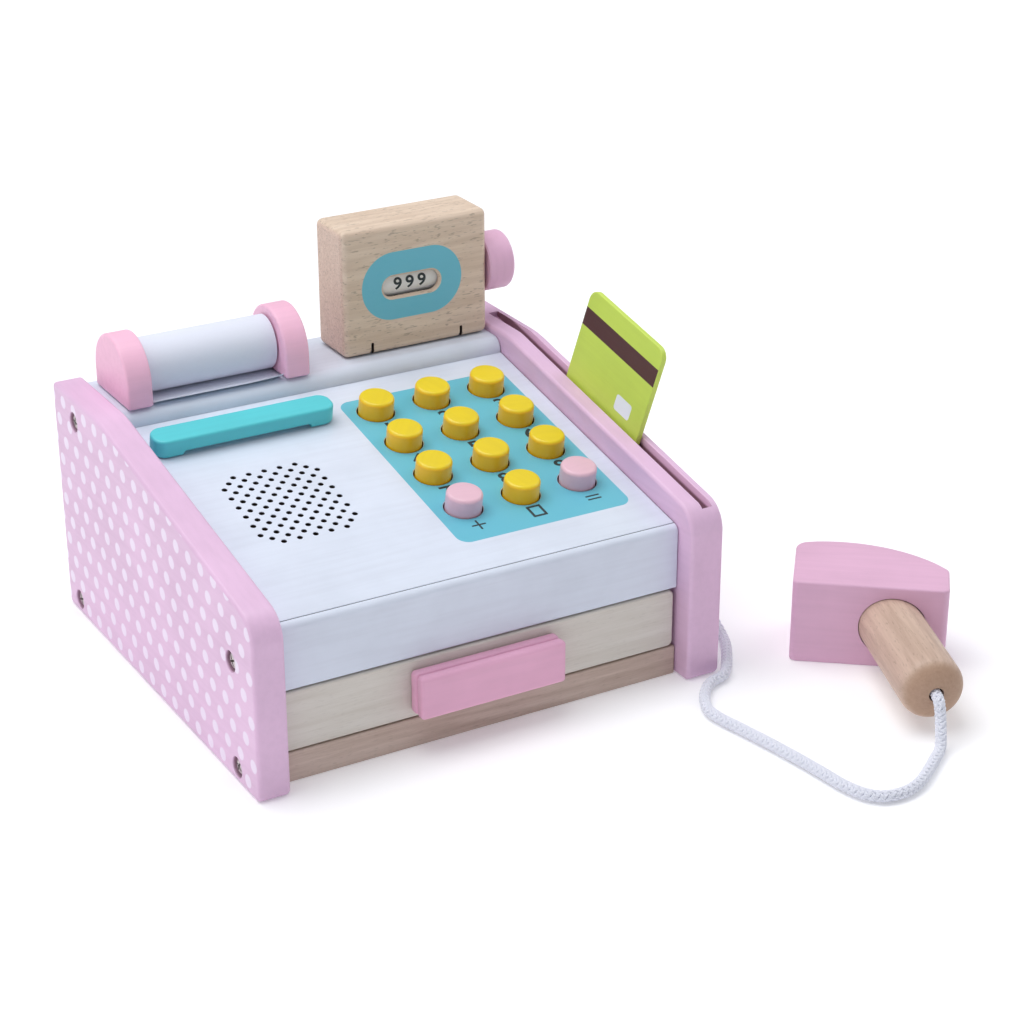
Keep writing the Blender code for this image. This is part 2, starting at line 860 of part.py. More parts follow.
def make_drawer():
    low_x, high_x = LEFT_IN + DRAWER_SIDE_GAP, RIGHT_IN - DRAWER_SIDE_GAP
    rear_of_front = FACE + DRAWER_FRONT_THICK + GAP
    rear = FACE + DRAWER_DEPTH
    inner_low_x, inner_high_x = low_x + DRAWER_WALL + GAP, high_x - DRAWER_WALL - GAP
    front = box(
        "drawer_front",
        (low_x, FACE, DRAWER_LOW),
        (high_x, FACE + DRAWER_FRONT_THICK, DRAWER_HIGH),
        "birch_plywood",
    )
    left = box(
        "drawer_side_left",
        (low_x, rear_of_front, DRAWER_LOW),
        (low_x + DRAWER_WALL, rear, DRAWER_WALL_TOP),
        "birch_plywood",
    )
    right = box(
        "drawer_side_right",
        (high_x - DRAWER_WALL, rear_of_front, DRAWER_LOW),
        (high_x, rear, DRAWER_WALL_TOP),
        "birch_plywood",
    )
    bottom = box(
        "drawer_bottom",
        (inner_low_x, rear_of_front, DRAWER_LOW),
        (inner_high_x, rear, DRAWER_LOW + DRAWER_BOTTOM_THICK),
        "birch_plywood",
    )
    back = box(
        "drawer_back",
        (inner_low_x, rear - DRAWER_WALL, DRAWER_LOW + DRAWER_BOTTOM_THICK + GAP),
        (inner_high_x, rear, DRAWER_WALL_TOP),
        "birch_plywood",
    )
    handle = make_handle()
    slide = joint_empty("drawer_slide_axis", (MID_X, FACE, HANDLE_Z))
    carry(slide, front, left, right, bottom, back, handle)


def make_handle():
    """Two glued layers of one outline. Their rounded edges leave a groove all round between them."""
    depth = 2 * HANDLE_LAYER
    handle = flat(
        "drawer_handle",
        [rectangle(HANDLE_WIDTH, HANDLE_HEIGHT, HANDLE_CORNER, 2)],
        depth,
        (HANDLE_X, FACE - GAP - HANDLE_LAYER, HANDLE_Z),
        (math.pi / 2, 0, 0),
        "pink_paint",
    )
    outside = 2 * HANDLE_CORNER
    inside = -2 * HANDLE_GROOVE
    ring = flat_cutter(
        "handle_groove",
        [
            rectangle(HANDLE_WIDTH + outside, HANDLE_HEIGHT + outside, HANDLE_CORNER, 1),
            rectangle(HANDLE_WIDTH + inside, HANDLE_HEIGHT + inside, HANDLE_CORNER, 1),
        ],
        HANDLE_GROOVE,
        (HANDLE_X, FACE - GAP - HANDLE_LAYER, HANDLE_Z),
        (math.pi / 2, 0, 0),
    )
    cut(handle, ring)
    return handle


def make_card():
    """The play card stands in the slot, leaning outwards, and slides along it."""
    along_axis = Vector((0, math.cos(SLOPE), math.sin(SLOPE)))
    slope_normal = Vector((0, -math.sin(SLOPE), math.cos(SLOPE)))
    across = Vector((1, 0, 0))
    up = slope_normal * math.cos(CARD_LEAN) + across * math.sin(CARD_LEAN)
    out = along_axis.cross(up)
    turn = Matrix((along_axis, up, out)).transposed().to_euler()
    floor = on_slope(SLOT_X + CARD_OFFSET, CARD_ALONG, SIDE_RISE - SLOT_DEPTH + CARD_FLOOR_GAP)
    card = flat(
        "play_card",
        [rectangle(CARD_LENGTH, CARD_HEIGHT, CARD_CORNER, 4)],
        CARD_THICK,
        floor + up * CARD_HEIGHT / 2,
        turn,
        "card_green",
    )
    return card


def head_outline():
    """Side view of the scanner head: a flat base, a tall front end and a back that curves down."""
    first = math.acos((HEAD_BASE - HEAD_LOW_RADIUS - HEAD_ARC_X) / HEAD_ARC_RADIUS)
    last = math.acos((HEAD_ARC_START - HEAD_ARC_X) / HEAD_ARC_RADIUS)
    corners = [(0, 0, HEAD_BASE_RADIUS), (HEAD_BASE, 0, HEAD_BASE_RADIUS)]
    corners.append((HEAD_BASE, HEAD_LOW_END, HEAD_LOW_RADIUS))
    steps = 8
    for i in range(steps + 1):
        angle = first + (last - first) * i / steps
        x = HEAD_ARC_X + HEAD_ARC_RADIUS * math.cos(angle)
        corners.append((x, HEAD_ARC_Y + HEAD_ARC_RADIUS * math.sin(angle), 0))
    corners.append((0, HEAD_HIGH_END, HEAD_HIGH_RADIUS))
    return rounded(corners, 3)


def grip_frame():
    """Start point and direction of the grip's axis, in world coordinates."""
    turn = Matrix.Rotation(HEAD_TURN, 3, "Z")
    start = HEAD_PLACE + turn @ Vector((GRIP_X, 0, GRIP_Z))
    return start, turn @ Vector((math.sin(GRIP_TURN), -math.cos(GRIP_TURN), 0))


def make_scanner():
    """The scanner lies on its side, with its grip leaving the flat base of its head."""
    start, direction = grip_frame()
    head = flat(
        "scanner_head",
        [head_outline()],
        HEAD_THICK,
        HEAD_PLACE + Vector((0, 0, HEAD_THICK / 2)),
        (0, 0, HEAD_TURN),
        "pink_paint",
    )
    towards = direction.to_track_quat("Z", "Y").to_euler()
    insert = GRIP_INSERT + GAP
    socket = rod_cutter(
        "grip_socket",
        GRIP_RADIUS + GAP,
        2 * insert,
        start,
        towards,
        20,
    )
    cut(head, socket)
    end = GRIP_LENGTH + GRIP_DOME
    grip = turned(
        "scanner_handle",
        [
            (0, end - CORD_HOLE_DEPTH),
            (CORD_HOLE_RADIUS, end - CORD_HOLE_DEPTH),
            (CORD_HOLE_RADIUS, end - 0.0003),
            (0.60 * GRIP_RADIUS, end - 0.0012),
            (0.88 * GRIP_RADIUS, GRIP_LENGTH + 0.0018),
            (GRIP_RADIUS, GRIP_LENGTH - 0.0020),
            (GRIP_RADIUS, -GRIP_INSERT),
            (0, -GRIP_INSERT),
        ],
        start,
        towards,
        "beech",
        20,
    )
    smooth(grip)
    carry(joint_empty("scanner_lift_axis", HEAD_PLACE), head, grip)


def cord_stops():
    """Points that the cord passes through, from its hole in the side panel to the end of the grip."""
    start, direction = grip_frame()
    tip = start + direction * (GRIP_LENGTH + GRIP_DOME)
    side = WIDTH / 2
    floor = CORD_FLOOR_Z
    down = Vector((0, 0, -1))
    return [
        Vector((side - 0.0080, CORD_EXIT_Y, CORD_EXIT_Z)),
        Vector((side + 0.0010, CORD_EXIT_Y, CORD_EXIT_Z)),
        Vector((side + 0.0090, CORD_EXIT_Y - 0.0015, CORD_EXIT_Z - 0.0025)),
        Vector((side + 0.0165, CORD_EXIT_Y - 0.0080, 0.0090)),
        Vector((side + 0.0165, CORD_EXIT_Y - 0.0180, floor + 0.0004)),
        Vector((side + 0.0110, FRONT + 0.0106, floor)),
        Vector((side - 0.0006, FRONT - 0.0050, floor)),
        Vector((side - 0.0100, FRONT - 0.0088, floor)),
        Vector((side - 0.0175, FRONT - 0.0160, floor)),
        Vector((side - 0.0225, FRONT - 0.0250, floor)),
        Vector((side - 0.0230, FRONT - 0.0330, floor)),
        Vector((side - 0.0205, FRONT - 0.0450, floor)),
        Vector((side - 0.0175, FRONT - 0.0600, floor)),
        Vector((side - 0.0150, FRONT - 0.0750, floor)),
        Vector((side - 0.0134, FRONT - 0.0870, floor)),
        Vector((side - 0.0120, FRONT - 0.0980, floor)),
        Vector((side - 0.0090, FRONT - 0.1065, floor)),
        Vector((side - 0.0035, FRONT - 0.1115, floor)),
        Vector((side + 0.0047, FRONT - 0.1125, floor)),
        Vector((side + 0.0130, FRONT - 0.1100, floor)),
        Vector((side + 0.0210, FRONT - 0.1050, floor)),
        Vector((side + 0.0286, FRONT - 0.0995, floor)),
        Vector((side + 0.0352, FRONT - 0.0945, floor + 0.0008)),
        tip + direction * 0.0060 + down * 0.0070,
        tip + direction * 0.0032 + down * 0.0014,
        tip - direction * 0.0010,
        tip - direction * 0.0080,
    ]


def spline_through(stops, steps):
    """Points of a smooth Catmull-Rom curve through the stops."""
    padded = [2 * stops[0] - stops[1], *stops, 2 * stops[-1] - stops[-2]]
    points = []
    for before, start, end, after in zip(padded, padded[1:], padded[2:], padded[3:]):
        for step in range(steps):
            t = step / steps
            slope_in = (end - before) / 2
            slope_out = (after - start) / 2
            points.append(
                start * (2 * t**3 - 3 * t**2 + 1)
                + slope_in * (t**3 - 2 * t**2 + t)
                + end * (3 * t**2 - 2 * t**3)
                + slope_out * (t**3 - t**2)
            )
    points.append(stops[-1])
    return points


def make_cord():
    points = spline_through(cord_stops(), 3)
    curve = bpy.data.curves.new("scanner_cord", "CURVE")
    curve.dimensions = "3D"
    curve.bevel_depth = CORD_RADIUS
    curve.bevel_resolution = 1
    curve.use_fill_caps = True
    spline = curve.splines.new("POLY")
    spline.points.add(len(points) - 1)
    for point, place_at in zip(spline.points, points):
        point.co = (*place_at, 1)
    place("scanner_cord", curve, "cord", (0, 0, 0))


clear_scene()
PARTS = new_collection("toy_cash_register")
CUTTERS = new_collection("cutters")

left_panel, right_panel = make_side_panels()
cross_boards = make_boards()
cut_screw_holes("left", -1, left_panel, cross_boards)
cut_screw_holes("right", 1, right_panel, cross_boards)
make_screws("left", -1)
make_screws("right", 1)
make_top_panel()
make_key_bed()
make_keys()
make_springs()
make_receipt_bar()
make_roll_holder()
make_display()
make_drawer()
make_card()
make_scanner()
make_cord()
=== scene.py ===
"""Looks of a wooden toy cash register: painted boards, beech, paper, a play card and a corded hand scanner.

Each finished piece is a mesh in a frame of its own, in metres, which is placed by its matrix. Its materials
read that same frame, so the grain and the prints stay with the piece when it moves.
"""

import json
import math

import bmesh
import bpy
from mathutils import Matrix, Vector


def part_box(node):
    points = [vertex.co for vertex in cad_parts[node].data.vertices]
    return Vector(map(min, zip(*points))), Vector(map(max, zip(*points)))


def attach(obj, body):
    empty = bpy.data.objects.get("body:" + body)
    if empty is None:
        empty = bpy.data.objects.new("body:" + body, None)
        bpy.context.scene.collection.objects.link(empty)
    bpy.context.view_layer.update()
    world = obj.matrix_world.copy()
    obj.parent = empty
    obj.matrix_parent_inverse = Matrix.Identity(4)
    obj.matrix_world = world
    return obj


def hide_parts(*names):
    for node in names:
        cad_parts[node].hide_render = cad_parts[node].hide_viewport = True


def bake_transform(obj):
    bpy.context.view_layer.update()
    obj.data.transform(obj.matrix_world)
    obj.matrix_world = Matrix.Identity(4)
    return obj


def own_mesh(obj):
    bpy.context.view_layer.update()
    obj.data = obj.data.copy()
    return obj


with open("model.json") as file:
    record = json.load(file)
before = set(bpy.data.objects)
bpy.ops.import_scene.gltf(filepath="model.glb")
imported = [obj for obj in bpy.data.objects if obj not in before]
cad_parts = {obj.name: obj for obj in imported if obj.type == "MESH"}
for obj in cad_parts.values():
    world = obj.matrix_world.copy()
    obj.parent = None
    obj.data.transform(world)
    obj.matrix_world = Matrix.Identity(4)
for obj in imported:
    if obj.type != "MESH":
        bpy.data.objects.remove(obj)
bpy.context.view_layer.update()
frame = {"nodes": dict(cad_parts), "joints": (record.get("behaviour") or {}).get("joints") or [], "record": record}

BODY_OF = {n: body for body, nodes in frame["record"]["behaviour"]["bodies"].items() for n in nodes}
JOINTS = {joint["name"]: joint for joint in frame["joints"]}
MM = 0.001

# Axes that an outline is drawn in: across the width, facing the front, and turned about the width
SIDEWAYS = Matrix(((0, 0, 1, 0), (1, 0, 0, 0), (0, 1, 0, 0), (0, 0, 0, 1)))
FRONTAL = Matrix.Rotation(math.pi / 2, 4, "X")
AXLEWAYS = Matrix.Rotation(math.pi / 2, 4, "Y")

# The register's main planes
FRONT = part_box("left_side_panel")[0].y
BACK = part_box("left_side_panel")[1].y
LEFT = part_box("left_side_panel")[0].x
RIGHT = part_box("right_side_panel")[1].x
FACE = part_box("front_panel")[0].y
LIP = 3.2 * MM
LIP_RADIUS = 2.9 * MM
SIDE_RISE = 9.77 * MM
SLOPE = math.atan2(JOINTS["card_swipe"]["axis"][2], JOINTS["card_swipe"]["axis"][1])
TOP_EDGE_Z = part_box("front_panel")[1].z - LIP * math.tan(SLOPE)
ON_SLOPE = Matrix.Translation((0, FACE, TOP_EDGE_Z)) @ Matrix.Rotation(SLOPE, 4, "X")
TOP_THICK = 5.0 * MM

# Keypad
KEY_HOLE_RADIUS = 7.8 * MM
KEY_EDGE = 1.5 * MM
GLYPH_OFFSET = 12.6 * MM
GLYPHS = {"plus": "+", "equals": "="}
PAD_LOW = Vector((0.5 * MM, 21 * MM))
PAD_HIGH = Vector((77 * MM, 128 * MM))
PAD_CORNER = 5 * MM

# Speaker holes: a square grid and the points halfway between
SPEAKER_X = LEFT + 32.7 * MM
SPEAKER_ALONG = 87.4 * MM
SPEAKER_PITCH = 6.575 * MM
SPEAKER_RADIUS = 1.15 * MM

# Card
CARD_LEAN = math.radians(10.7)
SLOT_X = RIGHT - 5.3 * MM
SLOT_WIDTH = 4.6 * MM
SLOT_DEPTH = 8.0 * MM

# Screws
RECESS_RADIUS = 4.1 * MM
RECESS_DEPTH = 3.2 * MM

# Number display
AXLE_HOLE_RADIUS = 3.3 * MM
KERF_DEPTH = 8 * MM

# Hand scanner
HEAD_TURN = math.radians(-38.5)
GRIP_TURN = math.radians(17.6)
CORD_HOLE_RADIUS = 3.0 * MM
CORD_EXIT = Vector((RIGHT, FRONT + 40 * MM, 22 * MM))
CORD_RADIUS = 2.3 * MM

# Colours, in linear light
PINK = (0.78, 0.47, 0.65)
PANEL_PINK = (0.79, 0.53, 0.74)
WHITE = (0.72, 0.775, 0.89)
TURQUOISE = (0.085, 0.60, 0.66)
PRINT_BLUE = (0.13, 0.495, 0.63)
# Near-black painted shade for the drilled holes and the saw kerfs
DEEP_SHADE = (0.035, 0.022, 0.016)
YELLOW = (0.85, 0.64, 0.006)
# Orange painted bounce light for the keys' walls
YELLOW_BOUNCE_LIGHT = (0.95, 0.52, 0.006)
INK = (0.018, 0.03, 0.035)
BEECH_LIGHT = (0.76, 0.62, 0.495)
BEECH_DARK = (0.60, 0.46, 0.35)
BIRCH_LIGHT = (0.72, 0.66, 0.59)
BIRCH_DARK = (0.60, 0.53, 0.46)


# Measuring and outlines


def at(x, y, z):
    return Matrix.Translation((x, y, z))


def crosswise(place):
    """The frame of a round piece that lies across the register."""
    return Matrix.Translation(place) @ AXLEWAYS


def box_in(node, matrix):
    """Lowest and highest corners of a CAD node, measured along another frame's axes."""
    inverse = matrix.inverted()
    points = [inverse @ vertex.co for vertex in frame["nodes"][node].data.vertices]
    return Vector(map(min, zip(*points))), Vector(map(max, zip(*points)))


def slope_z(y, above=0.0):
    return TOP_EDGE_Z + above / math.cos(SLOPE) + (y - FACE) * math.tan(SLOPE)


def rounded(corners, steps=8):
    """Outline points for (x, y, radius) corners, each rounded to its radius."""
    points = []
    for i, (x, y, radius) in enumerate(corners):
        here = Vector((x, y))
        if radius == 0:
            points.append(here)
            continue
        back = (Vector(corners[i - 1][:2]) - here).normalized()
        ahead = (Vector(corners[(i + 1) % len(corners)][:2]) - here).normalized()
        half = back.angle(ahead) / 2
        centre = here + (back + ahead).normalized() * radius / math.sin(half)
        start = here + back * radius / math.tan(half) - centre
        end = here + ahead * radius / math.tan(half) - centre
        first = math.atan2(start.y, start.x)
        sweep = (math.atan2(end.y, end.x) - first + math.pi) % (2 * math.pi) - math.pi
        for step in range(steps + 1):
            angle = first + sweep * step / steps
            points.append(centre + radius * Vector((math.cos(angle), math.sin(angle))))
    return points


def rectangle(low, high, radius=0.0, steps=8):
    """A rectangle between two corners, with its own corners rounded."""
    corners = [(low[0], low[1]), (high[0], low[1]), (high[0], high[1]), (low[0], high[1])]
    return rounded([(x, y, radius) for x, y in corners], steps)


def arc(x, y, radius, first, last, steps):
    """Points of an arc, with its angles in degrees."""
    angles = [math.radians(first + (last - first) * i / steps) for i in range(steps + 1)]
    return [(x + radius * math.cos(a), y + radius * math.sin(a)) for a in angles]


def smooth_path(stops, steps):
    """Points of a Catmull-Rom curve through the stops."""
    padded = [2 * stops[0] - stops[1], *stops, 2 * stops[-1] - stops[-2]]
    points = []
    for before, start, end, after in zip(padded, padded[1:], padded[2:], padded[3:]):
        for step in range(steps):
            t = step / steps
            points.append(
                start * (2 * t**3 - 3 * t**2 + 1)
                + (end - before) / 2 * (t**3 - 2 * t**2 + t)
                + end * (3 * t**2 - 2 * t**3)
                + (after - start) / 2 * (t**3 - t**2)
            )
    points.append(stops[-1])
    return points


# Meshes


def mesh_from(work, name="shape"):
    bmesh.ops.recalc_face_normals(work, faces=work.faces)
    mesh = bpy.data.meshes.new(name)
    work.to_mesh(mesh)
    work.free()
    return mesh


def bridge(work, upper, lower):
    """Faces between two closed rows of vertices. A point repeated along a row is a single vertex."""
    for i in range(len(upper)):
        j = (i + 1) % len(upper)
        work.faces.new(dict.fromkeys((upper[i], lower[i], lower[j], upper[j])))


def prism(outline, low, high):
    """An outline in X and Y, extruded from low to high in Z."""
    work = bmesh.new()
    bottom = [work.verts.new((*point, low)) for point in outline]
    top = [work.verts.new((*point, high)) for point in outline]
    work.faces.new(bottom)
    work.faces.new(top)
    bridge(work, top, bottom)
    return mesh_from(work)


def lathe(profile, segments=96, closed=False):
    """A profile of (radius, height) points turned about Z. A closed one is a ring with a bore."""
    work = bmesh.new()
    turns = [2 * math.pi * i / segments for i in range(segments)]
    rings = []
    for radius, height in profile:
        if radius == 0:
            ring = [work.verts.new((0, 0, height))] * segments
        else:
            ring = [work.verts.new((radius * math.cos(a), radius * math.sin(a), height)) for a in turns]
        rings.append(ring)
    if closed:
        rings.append(rings[0])
    for upper, lower in zip(rings, rings[1:]):
        bridge(work, upper, lower)
    return mesh_from(work)


def tubes(paths, radius, resolution=1):
    """Round wires along paths, as one mesh."""
    curve = bpy.data.curves.new("wires", "CURVE")
    curve.dimensions = "3D"
    curve.bevel_depth = radius
    curve.bevel_resolution = resolution
    curve.use_fill_caps = True
    for path in paths:
        spline = curve.splines.new("POLY")
        spline.points.add(len(path) - 1)
        for point, place in zip(spline.points, path):
            point.co = (*place, 1)
    mesh = mesh_of_curve(curve)
    work = bmesh.new()
    work.from_mesh(mesh)
    bmesh.ops.remove_doubles(work, verts=work.verts, dist=0.001 * MM)
    return mesh_from(work)


def mesh_of_curve(curve):
    guide = bpy.data.objects.new("guide", curve)
    bpy.context.scene.collection.objects.link(guide)
    graph = bpy.context.evaluated_depsgraph_get()
    mesh = bpy.data.meshes.new_from_object(guide.evaluated_get(graph))
    bpy.data.objects.remove(guide)
    return mesh


def joined(meshes):
    """Several meshes as one, each as (mesh, matrix)."""
    work = bmesh.new()
    for mesh, matrix in meshes:
        part = mesh.copy()
        part.transform(matrix)
        work.from_mesh(part)
    mesh = bpy.data.meshes.new("joined")
    work.to_mesh(mesh)
    work.free()
    return mesh


# Pieces


def put(name, mesh, matrix, material):
    obj = bpy.data.objects.new(name, mesh)
    obj.matrix_world = matrix
    mesh.materials.clear()
    mesh.materials.append(material)
    bpy.context.scene.collection.objects.link(obj)
    return obj


def finish(obj, edge=0.0, cutters=(), steps=4, sharp=35):
    """Rounds obj's sharp edges, cuts it, and shades it smooth apart from the edges that stay sharp."""
    if edge:
        bevel = obj.modifiers.new("edge", "BEVEL")
        bevel.width = edge
        bevel.segments = steps
        bevel.limit_method = "ANGLE"
        bevel.angle_limit = math.radians(40)
        bevel.use_clamp_overlap = False
    tools = []
    for mesh, matrix in cutters:
        tool = bpy.data.objects.new("cutter", mesh)
        tool.matrix_world = matrix
        bpy.context.scene.collection.objects.link(tool)
        change = obj.modifiers.new("cut", "BOOLEAN")
        change.operation = "DIFFERENCE"
        change.solver = "EXACT"
        change.object = tool
        tools.append(tool)
    if obj.modifiers:
        graph = bpy.context.evaluated_depsgraph_get()
        obj.data = bpy.data.meshes.new_from_object(obj.evaluated_get(graph))
        obj.modifiers.clear()
    for tool in tools:
        bpy.data.objects.remove(tool)
    obj.data.shade_smooth()
    obj.data.set_sharp_from_angle(angle=math.radians(sharp))
    normals = obj.modifiers.new("normals", "WEIGHTED_NORMAL")
    normals.keep_sharp = True
    return obj


def stand_for(node, mesh, matrix, material, edge=0.0, cutters=(), steps=4, sharp=35):
    """A finished piece that stands for a CAD node and rides on its body."""
    obj = finish(put(node + "_finish", mesh, matrix, material), edge, cutters, steps, sharp)
    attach(obj, BODY_OF[node])
    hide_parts(node)
    return obj


def extra(name, mesh, matrix, material, body, sharp=35):
    """A printed or small added piece that rides on a body and replaces nothing."""
    obj = finish(put(name, mesh, matrix, material), sharp=sharp)
    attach(obj, body)
    return obj


def dress(node, material, edge):
    """Keeps a plain CAD board, with softened edges and a finished material."""
    obj = frame["nodes"][node]
    obj.data.materials.clear()
    obj.data.materials.append(material)
    weld = obj.modifiers.new("weld", "WELD")
    weld.merge_threshold = 0.01 * MM
    bevel = obj.modifiers.new("edge", "BEVEL")
    bevel.width = edge
    bevel.segments = 3
    bevel.limit_method = "ANGLE"
    bevel.angle_limit = math.radians(40)


def rod_of(node):
    """The centre, the radius and half the length of a round CAD node that lies across the register."""
    low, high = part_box(node)
    return (low + high) / 2, (high.z - low.z) / 2, (high.x - low.x) / 2


def rod(radius, half, edge, bore=0.0, segments=96):
    """A cylinder about Z with cut rims, and with a bore if one is given."""
    profile = [(bore, half), (radius - edge, half), (radius, half - edge)]
    profile += [(radius, edge - half), (radius - edge, -half), (bore, -half)]
    return lathe(profile, segments, closed=bore > 0)


def front_block(node, radius=0.0):
    """A CAD node's box, with its corners rounded as they are seen from the front."""
    low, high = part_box(node)
    return prism(rectangle((low.x, low.z), (high.x, high.z), radius), -high.y, -low.y)


def board(node, outline, material, edge, cutters=(), steps=4):
    """A board of a CAD node's width, whose outline is seen from the side."""
    low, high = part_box(node)
    stand_for(node, prism(outline, low.x, high.x), SIDEWAYS, material, edge, cutters, steps)


def hole(radius, depth, flare=0.25 * MM, segments=64):
    """A cutter for a round hole down from Z = 0, with a softened rim."""
    above = 2 * MM
    profile = [(0, above), (radius + flare + above, above), (radius + 0.35 * flare, -0.35 * flare)]
    profile += [(radius, -flare), (radius, -depth), (0, -depth)]
    return lathe(profile, segments)


# Materials


class Surface:
    """A Principled material, with short calls that add texture nodes to it."""

    def __init__(self, name):
        self.material = bpy.data.materials.new(name)
        self.material.use_nodes = True
        self.tree = self.material.node_tree
        self.shader = self.tree.nodes["Principled BSDF"]
        place = self.add("TexCoord", {})
        self.place = place.outputs["Object"]
        self.normal = place.outputs["Normal"]
        self.seed = self.math("MULTIPLY", self.add("ObjectInfo", {}).outputs["Random"], 40.0)

    def add(self, kind, inputs, **settings):
        node = self.tree.nodes.new("ShaderNode" + kind)
        for key, value in settings.items():
            setattr(node, key, value)
        for key, value in inputs.items():
            self.feed(node.inputs[key], value)
        return node

    def feed(self, socket, value):
        if isinstance(value, bpy.types.NodeSocket):
            self.tree.links.new(value, socket)
        elif socket.type == "RGBA" and len(value) == 3:
            socket.default_value = (*value, 1)
        else:
            socket.default_value = value

    def set(self, **inputs):
        for key, value in inputs.items():
            self.feed(self.shader.inputs[key.replace("_", " ").title().replace("Ior", "IOR")], value)

    def math(self, operation, a, b=0.0, c=0.0):
        return self.add("Math", {0: a, 1: b, 2: c}, operation=operation).outputs[0]

    def times(self, first, *others):
        for factor in others:
            first = self.math("MULTIPLY", first, factor)
        return first

    def zigzag(self, value, rate):
        """Rises from 0 to 0.5 and falls back, each time that the value grows by 1 / rate."""
        return self.math("PINGPONG", self.times(value, rate), 0.5)

    def vector(self, operation, a, b=(0, 0, 0)):
        node = self.add("VectorMath", {0: a, 1: b}, operation=operation)
        return node.outputs["Value" if operation in ("LENGTH", "DOT_PRODUCT", "DISTANCE") else 0]

    def parts(self, vector):
        return self.add("SeparateXYZ", {0: vector}).outputs

    def bundle(self, x, y, z=0.0):
        return self.add("CombineXYZ", {0: x, 1: y, 2: z}).outputs[0]

    def mix(self, factor, a, b, blend="MIX"):
        node = self.add("Mix", {0: factor, 6: a, 7: b}, data_type="RGBA", blend_type=blend)
        return node.outputs[2]

    def fade(self, value, start, end, low=0.0, high=1.0):
        """A smooth step that goes from low at start to high at end."""
        inputs = {"Value": value, "From Min": start, "From Max": end, "To Min": low, "To Max": high}
        return self.add("MapRange", inputs, interpolation_type="SMOOTHSTEP").outputs[0]

    def noise(self, scale, stretch=(1, 1, 1), detail=3.0, rough=0.55, twist=0.0, offset=0.0):
        """Noise between 0 and 1, with scale in features per metre along each axis."""
        where = self.vector("MULTIPLY", self.place, tuple(scale * s for s in stretch))
        seed = self.math("ADD", self.seed, offset)
        inputs = {"Vector": where, "W": seed, "Scale": 1.0, "Detail": detail}
        inputs |= {"Roughness": rough, "Distortion": twist}
        return self.add("TexNoise", inputs, noise_dimensions="4D").outputs[0]

    def bump(self, height, distance, strength=1.0):
        inputs = {"Height": height, "Distance": distance, "Strength": strength}
        return self.add("Bump", inputs).outputs[0]

    def stadium(self, point, centre, half, radius, soft=0.06 * MM):
        """1 inside a rounded rectangle in the point's X and Y, and 0 outside it."""
        away = self.vector("ABSOLUTE", self.vector("SUBTRACT", point, (*centre, 0)))
        inner = (half[0] - radius, half[1] - radius, 0)
        past = self.vector("MAXIMUM", self.vector("SUBTRACT", away, inner), (0, 0, 0))
        return self.fade(self.vector("LENGTH", past), radius - soft, radius + soft, 1.0, 0.0)

    def flat_point(self, a="X", b="Y"):
        """The place in two of its axes, with nothing in the third."""
        parts = self.parts(self.place)
        return self.bundle(parts[a], parts[b])

    def facing(self, axis):
        """1 where the surface faces along an axis of the piece, and -1 where it faces the other way."""
        return self.parts(self.normal)[axis]

    def lies_across(self, axis):
        """1 where the surface is square to an axis, and 0 where it runs along it."""
        return self.math("ABSOLUTE", self.facing(axis))


def stretch_along(axis, ratio):
    """Noise scales that draw features out along one axis."""
    return tuple(ratio if i == axis else 1.0 for i in range(3))


def paint_coat(surface, colour, roughness, axis=0, coat=0.0):
    """Sprayed paint: soft mottling, grain that shows through faintly, and a fine orange peel."""
    cloud = surface.noise(28, detail=4.0)
    grain = surface.noise(420, stretch_along(axis, 0.06), detail=4.0, offset=3.0)
    peel = surface.noise(2600, detail=1.0, offset=7.0)
    darker = surface.mix(surface.fade(cloud, 0.25, 0.75, 0.0, 0.10), colour, (0.0, 0.0, 0.0))
    streaky = surface.mix(surface.fade(grain, 0.35, 0.75, 0.0, 0.05), darker, (0.10, 0.05, 0.08))
    height = surface.math("MULTIPLY_ADD", grain, 0.8, surface.times(peel, 0.35))
    surface.set(
        base_color=streaky,
        roughness=surface.fade(grain, 0.2, 0.8, roughness - 0.05, roughness + 0.08),
        normal=surface.bump(height, 0.03 * MM, 0.55),
        coat_weight=coat,
        coat_roughness=0.16,
    )
    return streaky


def painted(name, colour, roughness=0.42, axis=0, coat=0.0):
    surface = Surface(name)
    paint_coat(surface, colour, roughness, axis, coat)
    return surface.material


